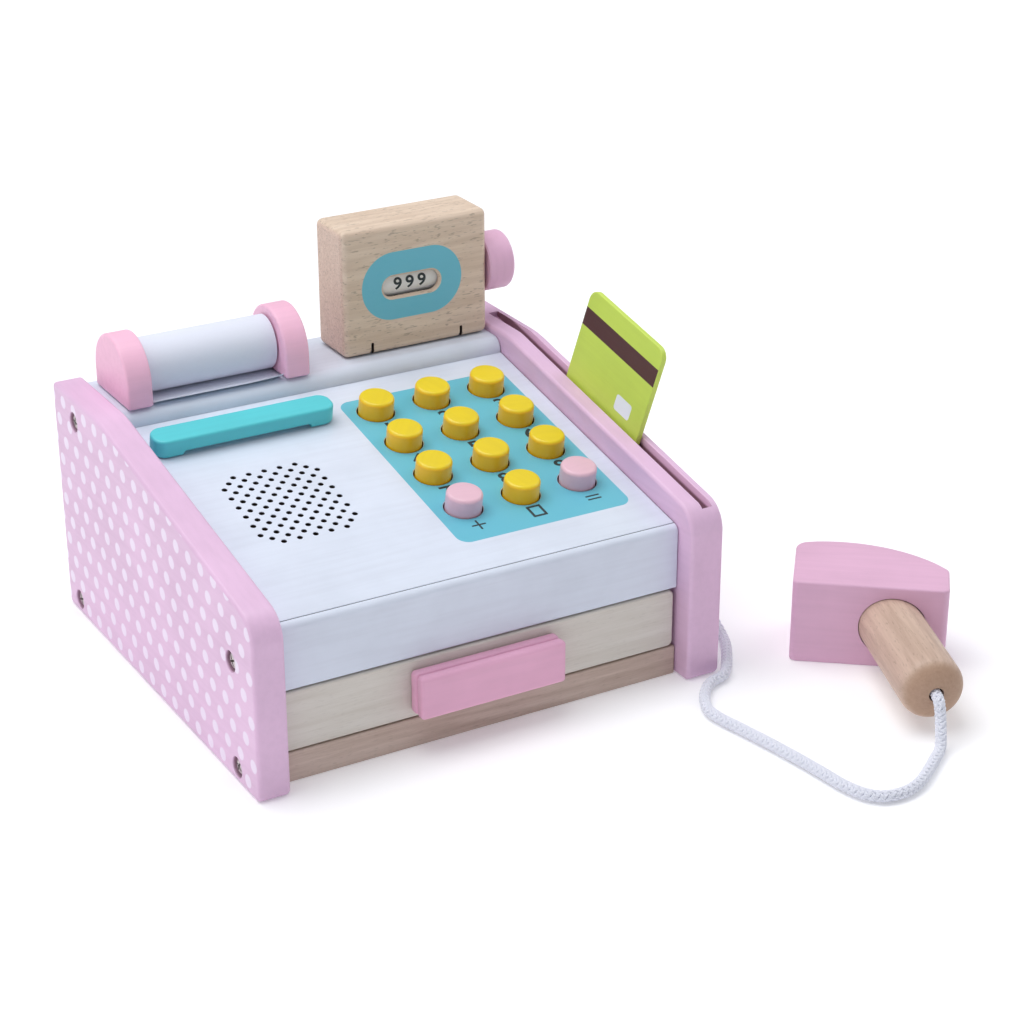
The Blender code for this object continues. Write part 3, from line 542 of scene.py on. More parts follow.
def spotted(name, colour, side):
    """Painted pink with a staggered print of pale dots on the face that points to this side.

    The screw recesses are bare inside and darkened further with painted shade; the card slot's walls get painted
    light below the rim and painted shade towards the floor."""
    surface = Surface(name)
    base = paint_coat(surface, colour, 0.40, axis=0)
    pitch_x, pitch_y, radius = 11.28 * MM, 17.8 * MM, 2.65 * MM
    first_x, first_y = 78.0 * MM / pitch_x - 0.5, 49.7 * MM / pitch_y - 0.5
    shares = surface.vector("DIVIDE", surface.flat_point(), (pitch_x, pitch_y, 1))
    masks = []
    for shift in (0.0, 0.5):
        cell = surface.vector("SUBTRACT", shares, (first_x + shift, first_y + shift, 0))
        cell = surface.vector("SUBTRACT", surface.vector("FRACTION", cell), (0.5, 0.5, 0))
        distance = surface.vector("LENGTH", surface.vector("MULTIPLY", cell, (pitch_x, pitch_y, 0)))
        masks.append(surface.fade(distance, radius - 0.35 * MM, radius + 0.35 * MM, 1.0, 0.0))
    dots = surface.math("MAXIMUM", *masks)
    on_face = surface.fade(surface.times(surface.facing("Z"), float(side)), 0.90, 0.97)
    tone = surface.mix(surface.times(dots, on_face, 0.75), base, (0.90, 0.82, 0.95))
    # Painted light on the card slot's upper walls, and painted shade near its floor
    slot_lit_wall, deeper_shade = slot_light_and_shade(surface)
    tone = surface.mix(slot_lit_wall, tone, (0.95, 0.66, 0.86))
    # Painted shade in the screw recesses and deep in the card slot
    dark = surface.math("MAXIMUM", recess_shade_mask(surface, side), deeper_shade)
    tone = surface.mix(dark, tone, (0.17, 0.06, 0.07))
    surface.set(base_color=tone)
    return surface.material


def recess_shade_mask(surface, side):
    """Painted shade on the wall and floor of each screw recess on this side, at most 0.6."""
    parts = surface.parts(surface.place)
    edge = LEFT if side < 0 else RIGHT
    depth = surface.times(surface.math("SUBTRACT", edge, parts["Z"]), float(side))
    mask = 0.0
    for seat, outward in screw_seats().values():
        if outward == side:
            offset = surface.vector("SUBTRACT", surface.flat_point(), (seat.y, seat.z, 0))
            distance = surface.vector("LENGTH", offset)
            near = surface.fade(distance, RECESS_RADIUS + 0.2 * MM, RECESS_RADIUS + 0.5 * MM, 1.0, 0.0)
            mask = surface.math("MAXIMUM", near, mask)
    # The painted shade grows with depth below the panel's face
    deeper_shade = surface.fade(depth, 0.2 * MM, 1.0 * MM, 0.0, 0.60)
    return surface.times(mask, deeper_shade)


def slot_light_and_shade(surface):
    """Masks of the card slot's walls: a lighter one near the rim for painted light, and a darker one towards the
    floor for painted shade.
    """
    parts = surface.parts(surface.place)
    across = surface.math("ABSOLUTE", surface.math("SUBTRACT", parts["Z"], SLOT_X))
    half = SLOT_WIDTH / 2
    within = surface.fade(across, half + 0.1 * MM, half + 0.3 * MM, 1.0, 0.0)
    rise = surface.times(surface.math("SUBTRACT", parts["X"], FRONT), math.tan(SLOPE))
    level = surface.math("ADD", rise, TOP_EDGE_Z + SIDE_RISE)
    depth = surface.math("SUBTRACT", level, parts["Y"])
    wall = surface.fade(surface.lies_across("Z"), 0.5, 0.8)
    wall = surface.times(within, wall)
    # Painted light on the walls below the rim, and painted shade from 4.2 mm down
    slot_lit_wall = surface.times(wall, surface.fade(depth, 0.4 * MM, 1.2 * MM))
    deeper_shade = surface.times(wall, surface.fade(depth, 4.2 * MM, 5.8 * MM, 0.0, 0.85))
    return slot_lit_wall, deeper_shade


def timber(name, light, dark, axis, rings=70, fleck=0.5, roughness=0.5, contrast=1.0):
    """Lacquered wood whose grain runs along one axis, with rings, fibres and short dark flecks."""
    surface = Surface(name)
    wood_coat(surface, light, dark, axis, rings, fleck, roughness, contrast)
    return surface.material


def wood_coat(surface, light, dark, axis, rings, fleck, roughness, contrast=1.0):
    """Straight grain: broad soft bands, fine fibres, and the short dark rays that beech shows."""
    along = stretch_along(axis, 0.05)
    bands = surface.noise(rings, stretch_along(axis, 0.07), detail=2.0, twist=0.1)
    lines = surface.fade(surface.zigzag(bands, 9.0), 0.0, 0.5)
    fibres = surface.noise(1700, along, detail=4.0, rough=0.65, offset=5.0)
    streaks = surface.noise(330, along, detail=4.0, offset=9.0)
    dashes = surface.noise(1500, stretch_along(axis, 0.20), detail=1.0, offset=13.0)
    dashes = surface.fade(dashes, 0.60, 0.70)
    shade = surface.math("MULTIPLY_ADD", lines, 0.12, surface.times(streaks, 0.59))
    shade = surface.math("MULTIPLY_ADD", fibres, 0.40, shade)
    tone = surface.mix(surface.fade(shade, 0.32, 0.80, 0.0, contrast), light, dark)
    ends = surface.fade(surface.lies_across("XYZ"[axis]), 0.72, 0.90)
    rays = surface.noise(1300, (1, 1, 1), detail=3.0, rough=0.6, offset=17.0)
    speckle = surface.mix(surface.fade(rays, 0.35, 0.65), light, dark)
    speckle = surface.mix(0.30, speckle, (0.56, 0.36, 0.32))
    tone = surface.mix(ends, tone, speckle)
    brown = tuple(0.50 * channel for channel in dark)
    tone = surface.mix(surface.times(dashes, fleck), tone, brown)
    height = surface.math("SUBTRACT", fibres, surface.times(dashes, 0.6))
    surface.set(
        base_color=tone,
        roughness=surface.fade(fibres, 0.3, 0.8, roughness - 0.06, roughness + 0.10),
        normal=surface.bump(height, 0.05 * MM, 0.5),
        specular_ior_level=0.35,
    )
    return tone


def plywood(name, axis, thin_axis, layers, thickness):
    """Birch plywood: plain veneer on its faces, and stripes of its layers on its edges."""
    surface = Surface(name)
    veneer = wood_coat(surface, BIRCH_LIGHT, BIRCH_DARK, axis, 45, 0.15, 0.5)
    depth = surface.parts(surface.place)["XYZ"[thin_axis]]
    stripe = surface.fade(surface.zigzag(depth, layers / (2 * thickness)), 0.20, 0.30)
    edge = surface.fade(surface.lies_across("XYZ"[thin_axis]), 0.35, 0.55, 1.0, 0.0)
    mask = surface.times(stripe, edge, 0.75)
    surface.set(base_color=surface.mix(mask, veneer, (0.38, 0.25, 0.15)))
    return surface.material


def block_material(window_x, window_z, kerfs_x, kerf_z, front):
    """Beech with a turquoise print around the window. The walls inside the saw kerfs are painted near-black as
    shade.
    """
    surface = Surface("beech_display_block")
    wood = wood_coat(surface, BEECH_LIGHT, BEECH_DARK, 0, 60, 0.55, 0.5)
    point = surface.flat_point()
    print_mask = surface.stadium(point, (window_x, window_z), (23.4 * MM, 14.7 * MM), 14.6 * MM)
    facing = surface.fade(surface.facing("Z"), 0.97, 0.99)
    tone = surface.mix(surface.times(print_mask, facing, 0.96), wood, PRINT_BLUE)
    half = (0.85 * MM, 5.6 * MM)
    kerfs = [surface.stadium(point, (x, kerf_z), half, 0.3 * MM) for x in kerfs_x]
    # Painted shade on the kerfs' walls, from just behind the face to their ends
    depth = surface.math("SUBTRACT", front, surface.parts(surface.place)["Z"])
    past_face = surface.fade(depth, 0.05 * MM, 0.3 * MM, 0.0, 0.96)
    before_end = surface.fade(depth, KERF_DEPTH + 0.2 * MM, KERF_DEPTH + 0.6 * MM, 1.0, 0.0)
    kerf_shade = surface.times(surface.math("MAXIMUM", *kerfs), past_face, before_end)
    surface.set(base_color=surface.mix(kerf_shade, tone, DEEP_SHADE))
    return surface.material


def top_material():
    """White paint with the turquoise keypad print. The walls of the drilled holes are bare and painted near-black
    as shade.
    """
    surface = Surface("white_top_panel")
    base = paint_coat(surface, WHITE, 0.34, axis=2, coat=0.15)
    centre = (PAD_LOW + PAD_HIGH) / 2
    half = (PAD_HIGH - PAD_LOW) / 2
    mask = surface.stadium(surface.flat_point("Z", "X"), centre, half, PAD_CORNER, 0.08 * MM)
    facing = surface.fade(surface.facing("Y"), 0.9, 0.97)
    tone = surface.mix(surface.times(mask, facing), base, PRINT_BLUE)
    # Painted shade: below about 0.1 mm under the face, the walls of the drilled holes turn near-black
    depth = surface.fade(surface.parts(surface.place)["Y"], -0.10 * MM, -0.45 * MM)
    surface.set(base_color=surface.mix(depth, tone, DEEP_SHADE))
    return surface.material


def card_material(length, height):
    """Yellow-green paint with a brown stripe and a pale chip on the face turned to the keypad."""
    surface = Surface("green_play_card")
    base = paint_coat(surface, (0.60, 0.76, 0.115), 0.40, axis=0)
    point = surface.flat_point()
    stripe = surface.stadium(point, (0, height / 2 - 12.2 * MM), (length, 3.9 * MM), 0.3 * MM)
    chip = surface.stadium(point, (-0.24 * length, height / 2 - 33 * MM), (5.6 * MM, 3.4 * MM), 1.4 * MM)
    facing = surface.fade(surface.facing("Z"), -0.9, -0.97, 0.0, 1.0)
    tone = surface.mix(surface.times(stripe, facing), base, (0.085, 0.03, 0.032))
    tone = surface.mix(surface.times(chip, facing), tone, (0.80, 0.86, 0.93))
    surface.set(base_color=tone)
    return surface.material


def paper_material():
    """White till paper, with the turns of the roll showing as fine rings on its ends."""
    surface = Surface("till_paper")
    fibre = surface.noise(900, detail=5.0)
    parts = surface.parts(surface.place)
    radius = surface.vector("LENGTH", surface.bundle(parts["X"], parts["Y"]))
    turns = surface.zigzag(radius, 2200.0)
    ends = surface.fade(surface.lies_across("Z"), 0.7, 0.95)
    lines = surface.times(surface.fade(turns, 0.0, 0.4, 0.30, 0.0), ends)
    tone = surface.mix(surface.fade(fibre, 0.3, 0.7, 0.0, 0.05), (0.72, 0.75, 0.85), (0.55, 0.55, 0.66))
    surface.set(
        base_color=surface.mix(lines, tone, (0.45, 0.45, 0.52)),
        roughness=0.75,
        normal=surface.bump(fibre, 0.02 * MM, 0.4),
    )
    return surface.material


def steel_material():
    surface = Surface("nickel_steel")
    brush = surface.noise(2500, (1, 1, 0.2), detail=3.0)
    surface.set(
        base_color=surface.mix(brush, (0.42, 0.38, 0.37), (0.68, 0.64, 0.62)),
        metallic=1.0,
        roughness=surface.fade(brush, 0.3, 0.7, 0.24, 0.42),
        normal=surface.bump(brush, 0.01 * MM, 0.3),
    )
    return surface.material


def cord_material():
    """Matt polyester yarn with a fine twist."""
    surface = Surface("braided_cord")
    yarn = surface.noise(3200, detail=3.0, rough=0.7)
    surface.set(
        base_color=surface.mix(yarn, (0.66, 0.68, 0.80), (0.92, 0.93, 0.98)),
        roughness=0.8,
        sheen_weight=0.35,
        normal=surface.bump(yarn, 0.06 * MM, 0.7),
        subsurface_weight=0.0,
    )
    return surface.material


def ink_material():
    surface = Surface("black_print")
    wear = surface.noise(1500, detail=3.0)
    surface.set(
        base_color=surface.mix(surface.fade(wear, 0.45, 0.75, 0.0, 0.25), INK, (0.08, 0.12, 0.13)),
        roughness=0.55,
    )
    return surface.material


# The body of the register


def side_outline():
    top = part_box("left_side_panel")[1].z
    nose = slope_z(FRONT, SIDE_RISE)
    bend = FRONT + (top - nose) / math.tan(SLOPE)
    corners = [(FRONT, 0, 3 * MM), (BACK, 0, 3 * MM), (BACK, top, 2 * MM)]
    corners += [(bend, top, 60 * MM), (FRONT, nose, 12 * MM)]
    return rounded(corners, 12)


def screw_seats():
    """The place of each screw's head, with the direction that it faces, by node."""
    seats = {}
    for node in BODY_OF:
        if node.startswith("screw_"):
            low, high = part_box(node)
            outward = -1 if high.x < 0 else 1
            face = low.x if outward < 0 else high.x
            seats[node] = (Vector((face, (low.y + high.y) / 2, (low.z + high.z) / 2)), outward)
    return seats


def make_side_panels():
    outline = side_outline()
    recess = hole(RECESS_RADIUS, RECESS_DEPTH, 0.35 * MM, 48)
    for node, outward, edge_x in (("left_side_panel", -1, LEFT), ("right_side_panel", 1, RIGHT)):
        turn = Matrix.Rotation(outward * math.pi / 2, 4, "Y")
        cutters = []
        for seat, facing in screw_seats().values():
            if facing == outward:
                cutters.append((recess, at(edge_x, seat.y, seat.z) @ turn))
        if outward > 0:
            cord_hole = hole(CORD_HOLE_RADIUS, 12 * MM, 0.3 * MM)
            cutters += [slot_cutter(), (cord_hole, crosswise(CORD_EXIT))]
        paint = spotted("pink_dots_" + node, PANEL_PINK, outward)
        board(node, outline, paint, 1.6 * MM, cutters, 5)


def slot_cutter():
    """A straight groove parallel to the slope, with a softened rim."""
    half, flare, above = SLOT_WIDTH / 2, 0.4 * MM, 6 * MM
    outline = [(half, 0), (half, SLOT_DEPTH - flare), (half + flare, SLOT_DEPTH)]
    outline += [(half + flare, SLOT_DEPTH + above)]
    outline = [(-x, y) for x, y in outline] + outline[::-1]
    floor = ON_SLOPE @ at(SLOT_X, 0, SIDE_RISE - SLOT_DEPTH)
    start, end = -3 * MM, 166 * MM
    return prism(outline, -end, -start), floor @ FRONTAL


def make_screws():
    steel = steel_material()
    head, height = 3.5 * MM, 2.2 * MM
    profile = [(0, 0), (0.5 * head, -0.06 * MM), (0.8 * head, -0.35 * MM), (0.96 * head, -0.9 * MM)]
    profile += [(head, -1.4 * MM), (head, -height), (1.6 * MM, -height), (1.6 * MM, -19 * MM)]
    profile += [(0, -22 * MM)]
    arm_length, arm_width, arm_depth = 4.0 * MM, 0.8 * MM, 3.2 * MM
    arm = Matrix.Diagonal((arm_length, arm_width, arm_depth, 1))
    cube = prism(rectangle((-0.5, -0.5), (0.5, 0.5)), -0.5, 0.5)
    for node, (seat, outward) in screw_seats().items():
        matrix = Matrix.Translation(seat) @ Matrix.Rotation(outward * math.pi / 2, 4, "Y")
        turn = Matrix.Rotation(math.radians(17 + 41 * len(node)), 4, "Z")
        cutters = []
        for angle in (0, math.pi / 2):
            cutters.append((cube, matrix @ turn @ Matrix.Rotation(angle, 4, "Z") @ arm))
        stand_for(node, lathe(profile, 48), matrix, steel, 0, cutters, sharp=40)


def make_base_and_back():
    low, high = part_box("base_board")
    wood = timber("base_timber", (0.64, 0.515, 0.45), (0.46, 0.345, 0.285), 2, 50, 0.20)
    board("base_board", rectangle((low.y, low.z), (high.y, high.z)), wood, 0.7 * MM)
    dress("back_panel", painted("white_back_panel", WHITE, 0.45, 0), 0.5 * MM)
    dress("key_bed", plywood("ply_key_bed", 0, 2, 3, 4 * MM), 0.3 * MM)


def make_front_panel():
    """The board over the drawer, with a rounded lip that shows in front of the sloping top."""
    low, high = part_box("front_panel")
    under = -TOP_THICK - 0.3 * MM
    step = FACE + LIP
    corners = [
        (low.y, low.z, 1.2 * MM),
        (high.y, low.z, 0.5 * MM),
        (high.y, slope_z(high.y, under), 0.3 * MM),
        (step, slope_z(step, under), 0.0),
        (step, slope_z(step, 0), 0.5 * MM),
        (low.y, TOP_EDGE_Z, LIP_RADIUS),
    ]
    white = painted("white_front_panel", WHITE, 0.34, 2, 0.15)
    board("front_panel", rounded(corners, 8), white, 0.5 * MM)


def make_rear_shelf():
    low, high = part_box("rear_shelf")
    corners = [(low.y, low.z, 0.5 * MM), (high.y, low.z, 0.5 * MM)]
    corners += [(high.y, high.z, 2.5 * MM), (low.y, high.z, 5.5 * MM)]
    white = painted("white_rear_shelf", WHITE, 0.36, 2, 0.1)
    board("rear_shelf", rounded(corners, 6), white, 0.3 * MM)


def speaker_places():
    """The holes of both grids, as (x, along): the square grid has no corner holes."""
    places = []
    for i in range(7):
        for j in range(8):
            if not (i in (0, 6) and j in (0, 7)):
                places.append((i, j - 1))
    for i in range(6):
        for j in range(7):
            places.append((i + 0.5, j - 0.5))
    x, along, pitch = SPEAKER_X, SPEAKER_ALONG, SPEAKER_PITCH
    return [(x + i * pitch, along - j * pitch) for i, j in places]


def key_nodes():
    return [n for n in BODY_OF if n.startswith("key_") and not n.endswith(("_spring", "_bed"))]


def on_key(node, ahead=0.0):
    """The move from the slope's frame to a key's axis, or to a point ahead of it."""
    low, high = box_in(node, ON_SLOPE)
    return at((low.x + high.x) / 2, (low.y + high.y) / 2 - ahead, 0)


def make_top_panel():
    """The sloping top, in a frame whose X runs up the slope, Y off it and Z to the right."""
    low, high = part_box("top_panel")
    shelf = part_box("rear_shelf")[0].y - 0.15 * MM
    start = LIP + 0.15 * MM
    end = (shelf - FACE) / math.cos(SLOPE)
    lean = TOP_THICK * math.tan(SLOPE)
    outline = [(start, 0), (end, 0), (end - lean, -TOP_THICK), (start, -TOP_THICK)]
    small = hole(SPEAKER_RADIUS, 8 * MM, 0.08 * MM, 20)
    holes = [(small, at(x, along, 0)) for x, along in speaker_places()]
    large = hole(KEY_HOLE_RADIUS, 8 * MM, 0.3 * MM, 72)
    holes += [(large, on_key(node)) for node in key_nodes()]
    sheet = prism(outline, low.x, high.x)
    cutters = [(joined(holes), ON_SLOPE)]
    stand_for("top_panel", sheet, ON_SLOPE @ SIDEWAYS, top_material(), 0.35 * MM, cutters, 3)


def make_receipt_bar():
    low, high = box_in("receipt_bar", ON_SLOPE)
    foot, below, gap = 11 * MM, 4 * MM, 2.2 * MM
    opening = rectangle((low.x + foot, -below), (high.x - foot, gap), 1.6 * MM)
    under = ON_SLOPE @ at(0, (low.y + high.y) / 2, low.z) @ FRONTAL
    cutters = [(prism(opening, -30 * MM, 30 * MM), under)]
    shape = prism(rectangle(low, high, 5 * MM), low.z, high.z)
    paint = painted("turquoise_bar", TURQUOISE, 0.40, 0, 0.1)
    stand_for("receipt_bar", shape, ON_SLOPE, paint, 1.1 * MM, cutters)


# Keys


def key_paint():
    """Yellow paint, with warm orange bounce light painted onto the keys' walls."""
    surface = Surface("yellow_keys")
    top = paint_coat(surface, YELLOW, 0.36, 0, 0.12)
    # Painted bounce light: the walls turn orange, and the tops stay yellow
    upward = surface.fade(surface.lies_across("Z"), 0.3, 0.9)
    surface.set(base_color=surface.mix(upward, YELLOW_BOUNCE_LIGHT, top))
    return surface.material


def make_keys():
    yellow = key_paint()
    pink = painted("pink_keys", (0.82, 0.52, 0.62), 0.38, 0, 0.2)
    radius, flange = 7.25 * MM, 8.8 * MM
    flange_top = -TOP_THICK - 0.3 * MM
    for node in key_nodes():
        low, high = box_in(node, ON_SLOPE)
        profile = [(0, high.z), (0.55 * radius, high.z - 0.04 * MM)]
        profile += arc(radius - KEY_EDGE, high.z - KEY_EDGE - 0.1 * MM, KEY_EDGE, 84, 0, 6)
        profile += [(radius, flange_top), (flange, flange_top), (flange, low.z), (0, low.z)]
        spin = Matrix.Rotation(0.7 * len(node) + 20 * (low.x + high.x), 4, "Z")
        paint = pink if node in ("key_plus", "key_equals") else yellow
        stand_for(node, lathe(profile, 72), ON_SLOPE @ on_key(node) @ spin, paint)


def make_springs():
    steel = steel_material()
    wire, turns, per_turn = 0.45 * MM, 3, 24
    for node in key_nodes():
        spring = node + "_spring"
        low, high = box_in(spring, ON_SLOPE)
        radius = (high.x - low.x) / 2 - wire
        height = high.z - low.z - 2 * wire
        path = []
        for i in range(turns * per_turn + 1):
            angle = 2 * math.pi * i / per_turn
            rise = low.z + wire + height * i / (turns * per_turn)
            path.append(Vector((radius * math.cos(angle), radius * math.sin(angle), rise)))
        matrix = ON_SLOPE @ on_key(spring)
        obj = stand_for(spring, tubes([path], wire), matrix, steel)
        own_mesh(obj)


# Strokes of the simple marks, in a unit square
STROKES = {
    "0": [[(0, 0), (1, 0), (1, 1), (0, 1), (0, 0)]],
    "+": [[(0, 0.5), (1, 0.5)], [(0.5, 0), (0.5, 1)]],
    "=": [[(0, 0.3), (1, 0.3)], [(0, 0.7), (1, 0.7)]],
}


def stroke_glyph(lines, size, width, thick):
    """Straight strokes as thin flat bars, each a hair higher than the last so that none coincide."""
    bars = []
    level = thick
    for line in lines:
        for start, end in zip(line, line[1:]):
            a = Vector(((start[0] - 0.5) * size[0], (start[1] - 0.5) * size[1], 0))
            b = Vector(((end[0] - 0.5) * size[0], (end[1] - 0.5) * size[1], 0))
            half = (b - a).length / 2 + width / 2
            level += 0.004 * MM
            bar = prism(rectangle((-half, -width / 2), (half, width / 2), 0.4 * width, 3), 0, level)
            angle = math.atan2(b.y - a.y, b.x - a.x)
            bars.append((bar, Matrix.Translation((a + b) / 2) @ Matrix.Rotation(angle, 4, "Z")))
    return joined(bars)


def letter(text, size, thick, weight=0.0, widen=1.0):
    """A digit in the plain built-in face, centred on the origin, as a thin solid. A 6 is a turned 9."""
    curve = bpy.data.curves.new("digit", "FONT")
    curve.body = "9" if text == "6" else text
    curve.size = size
    curve.extrude = thick / 2
    curve.offset = weight
    mesh = mesh_of_curve(curve)
    mesh.transform(Matrix.Diagonal((widen, 1, 1, 1)))
    if text == "6":
        mesh.transform(Matrix.Rotation(math.pi, 4, "Z"))
    xs = [v.co.x for v in mesh.vertices]
    ys = [v.co.y for v in mesh.vertices]
    middle = ((min(xs) + max(xs)) / 2, (min(ys) + max(ys)) / 2, 0)
    mesh.transform(Matrix.Translation(middle).inverted())
    return mesh


def make_glyphs(ink):
    """The mark in front of each key."""
    thick = 0.04 * MM
    marks = []
    for node in key_nodes():
        sign = node[len("key_") :]
        sign = GLYPHS.get(sign, sign)
        place = on_key(node, GLYPH_OFFSET)
        if sign in STROKES:
            size = (5.2 * MM, 6.2 * MM) if sign == "0" else (5.4 * MM, 5.4 * MM)
            width = 1.1 * MM if sign == "0" else 0.8 * MM
            marks.append((stroke_glyph(STROKES[sign], size, width, thick), place))
        else:
            marks.append((letter(sign, 9.6 * MM, 2 * thick, 0.22 * MM, 1.1), place))
    extra("keypad_marks", joined(marks), ON_SLOPE, ink, "register")


# Paper roll


def make_roll_holder():
    pink = painted("pink_brackets", (0.93, 0.53, 0.70), 0.42, 2)
    for node in ("roll_bracket_left", "roll_bracket_right"):
        low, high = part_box(node)
        y, radius = (low.y + high.y) / 2, (high.y - low.y) / 2
        outline = [(low.y, low.z), (high.y, low.z)] + arc(y, high.z - radius, radius, 0, 180, 48)
        board(node, outline, pink, 1.2 * MM)
    centre, radius, half = rod_of("roll_axle")
    beech = timber("beech_roll_axle", BEECH_LIGHT, BEECH_DARK, 2, 60, 0.4)
    axle = rod(radius, half, 0.4 * MM, segments=40)
    stand_for("roll_axle", axle, crosswise(centre), beech)


def make_roll():
    paper = paper_material()
    centre, radius, half = rod_of("paper_roll")
    roll = rod(radius, half, 0.15 * MM, 3.4 * MM, 128)
    stand_for("paper_roll", roll, crosswise(centre), paper)
    make_tail(paper)


def make_tail(paper):
    """The loose end: it lies flat under the roll, and its front edge curls up, more at the corners."""
    low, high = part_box("paper_tail")
    start, lift_from, front = high.y, low.y + 3 * MM, low.y - 3.3 * MM
    floor, thick = low.z, 0.12 * MM
    work = bmesh.new()
    columns, rows = 28, 30
    sheets = []
    for side in (thick, 0.0):
        sheet = []
        for row in range(rows + 1):
            y = start + (front - start) * row / rows
            curl = max(0.0, (lift_from - y) / (lift_from - front))
            line = []
            for column in range(columns + 1):
                t = column / columns
                corner = (2 * t - 1) ** 4
                z = floor + side + curl**2 * (1.7 + 1.1 * corner * t) * MM
                line.append(work.verts.new((low.x + (high.x - low.x) * t, y, z)))
            sheet.append(line)
        sheets.append(sheet)
    for sheet in sheets:
        for line, following in zip(sheet, sheet[1:]):
            for i in range(columns):
                work.faces.new((line[i], line[i + 1], following[i + 1], following[i]))
    rims = []
    for sheet in sheets:
        right = [line[-1] for line in sheet[1:]]
        left = [line[0] for line in sheet[-2:0:-1]]
        rims.append(sheet[0] + right + sheet[-1][-2::-1] + left)
    bridge(work, *rims)
    stand_for("paper_tail", mesh_from(work), Matrix.Identity(4), paper)


# Number display


def make_display(ink):
    """The block with its window, its open pocket and its two kerfs, then the drum and the knob."""
    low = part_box("display_block")[0]
    (drum_x, drum_y, drum_z), drum_radius, drum_half = rod_of("number_drum")
    pocket_low, pocket_high = drum_x - drum_half - 0.6 * MM, drum_x + drum_half + 0.6 * MM
    window_x = pocket_low + 19.2 * MM
    reach = 8.8 * MM
    pocket = [(drum_y - reach, low.z - 2 * MM), (drum_y + reach, low.z - 2 * MM)]
    pocket += arc(drum_y, drum_z, reach, 0, 180, 32)
    half_kerf, kerf_height = 0.65 * MM, 5.2 * MM
    outline = rectangle((-half_kerf, -10 * MM), (half_kerf, kerf_height), 0.4 * MM, 3)
    kerf = prism(outline, -KERF_DEPTH, KERF_DEPTH)
    cutters = [(prism(pocket, pocket_low, pocket_high), SIDEWAYS), window_cutter(window_x, drum_z, low.y)]
    kerfs_x = (pocket_low + 0.3 * MM, pocket_high - 0.3 * MM)
    for x in kerfs_x:
        cutters.append((kerf, at(x, low.y, low.z) @ FRONTAL))
    start, end = 60 * MM, -26 * MM
    bore = lathe([(0, start), (AXLE_HOLE_RADIUS, start), (AXLE_HOLE_RADIUS, end), (0, end)], 40)
    cutters.append((bore, crosswise((drum_x, drum_y, drum_z))))
    wood = block_material(window_x + 0.2 * MM, drum_z + 0.6 * MM, kerfs_x, low.z, -low.y)
    stand_for("display_block", front_block("display_block"), FRONTAL, wood, 2.8 * MM, cutters, 6)
    make_drum(drum_x, drum_y, drum_z, drum_radius, drum_half, window_x, ink)
    make_knob()


def window_cutter(x, z, face):
    """A slot with round ends through the front of the block, and a chamfer around it."""
    half_width, half_height, chamfer, above = 13.2 * MM, 4.5 * MM, 0.9 * MM, 2 * MM
    depth_in = 12 * MM
    work = bmesh.new()
    rings = []
    for grow, depth in ((chamfer + above, above), (0, -chamfer), (0, -depth_in)):
        a, b = half_width + grow, half_height + grow
        outline = arc(a - b, 0, b, -90, 90, 24) + arc(b - a, 0, b, 90, 270, 24)
        rings.append([work.verts.new((px, py, depth)) for px, py in outline])
    work.faces.new(rings[0])
    work.faces.new(rings[-1])
    for upper, lower in zip(rings, rings[1:]):
        bridge(work, upper, lower)
    return mesh_from(work), at(x, face, z) @ FRONTAL


def make_drum(x, y, z, radius, half, window_x, ink):
    """A white drum with rows of three equal digits, spaced so that the window shows one row."""
    white = painted("white_number_drum", (0.84, 0.83, 0.82), 0.5)
    drum = rod(radius, half, 0.2 * MM, AXLE_HOLE_RADIUS)
    stand_for("number_drum", drum, crosswise((x, y, z)), white)
    axle_centre, axle_radius, axle_half = rod_of("drum_axle")
    beech = timber("beech_drum_axle", BEECH_LIGHT, BEECH_DARK, 2, 60, 0.4)
    profile = [(0, axle_half), (axle_radius, axle_half), (axle_radius, -axle_half), (0, -axle_half)]
    stand_for("drum_axle", lathe(profile, 40), crosswise(axle_centre), beech)
    rows = []
    for row, digit in enumerate("987654"):
        for column in (-1, 0, 1):
            shift = (window_x - x + column * 5.65 * MM + 0.4 * MM, 0, 0)
            turn = Matrix.Rotation(math.radians(60 * row - 2), 4, "X")
            shape = wrapped(letter(digit, 7.3 * MM, 0.12 * MM, 0.16 * MM, 1.12), radius)
            rows.append((shape, turn @ Matrix.Translation(shift)))
    extra("drum_digits", joined(rows), at(x, y, z), ink, "number_display")


def wrapped(mesh, radius):
    """Bends a flat digit around the X axis, so that it lies on a drum and faces the front."""
    work = bmesh.new()
    work.from_mesh(mesh)
    for step in range(-6, 7):
        geometry = work.verts[:] + work.edges[:] + work.faces[:]
        bmesh.ops.bisect_plane(work, geom=geometry, plane_co=(0, 0.45 * step * MM, 0), plane_no=(0, 1, 0))
    for vertex in work.verts:
        x, height, out = vertex.co
        angle = height / radius
        reach = radius + out
        vertex.co = (x, -reach * math.cos(angle), reach * math.sin(angle))
    return mesh_from(work)


def make_knob():
    low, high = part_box("display_knob")
    radius, thick, edge = (high.z - low.z) / 2, high.x - low.x, 1.7 * MM
    profile = [(0, thick), (0.5 * radius, thick - 0.05 * MM)]
    profile += arc(radius - edge, thick - edge, edge, 86, 0, 8)
    profile += [(radius, 0.5 * MM), (radius - 0.5 * MM, 0), (0, 0)]
    place = crosswise((low.x, (low.y + high.y) / 2, (low.z + high.z) / 2))
    stand_for("display_knob", lathe(profile, 96), place, painted("pink_knob", PINK, 0.42, 0))


# Drawer


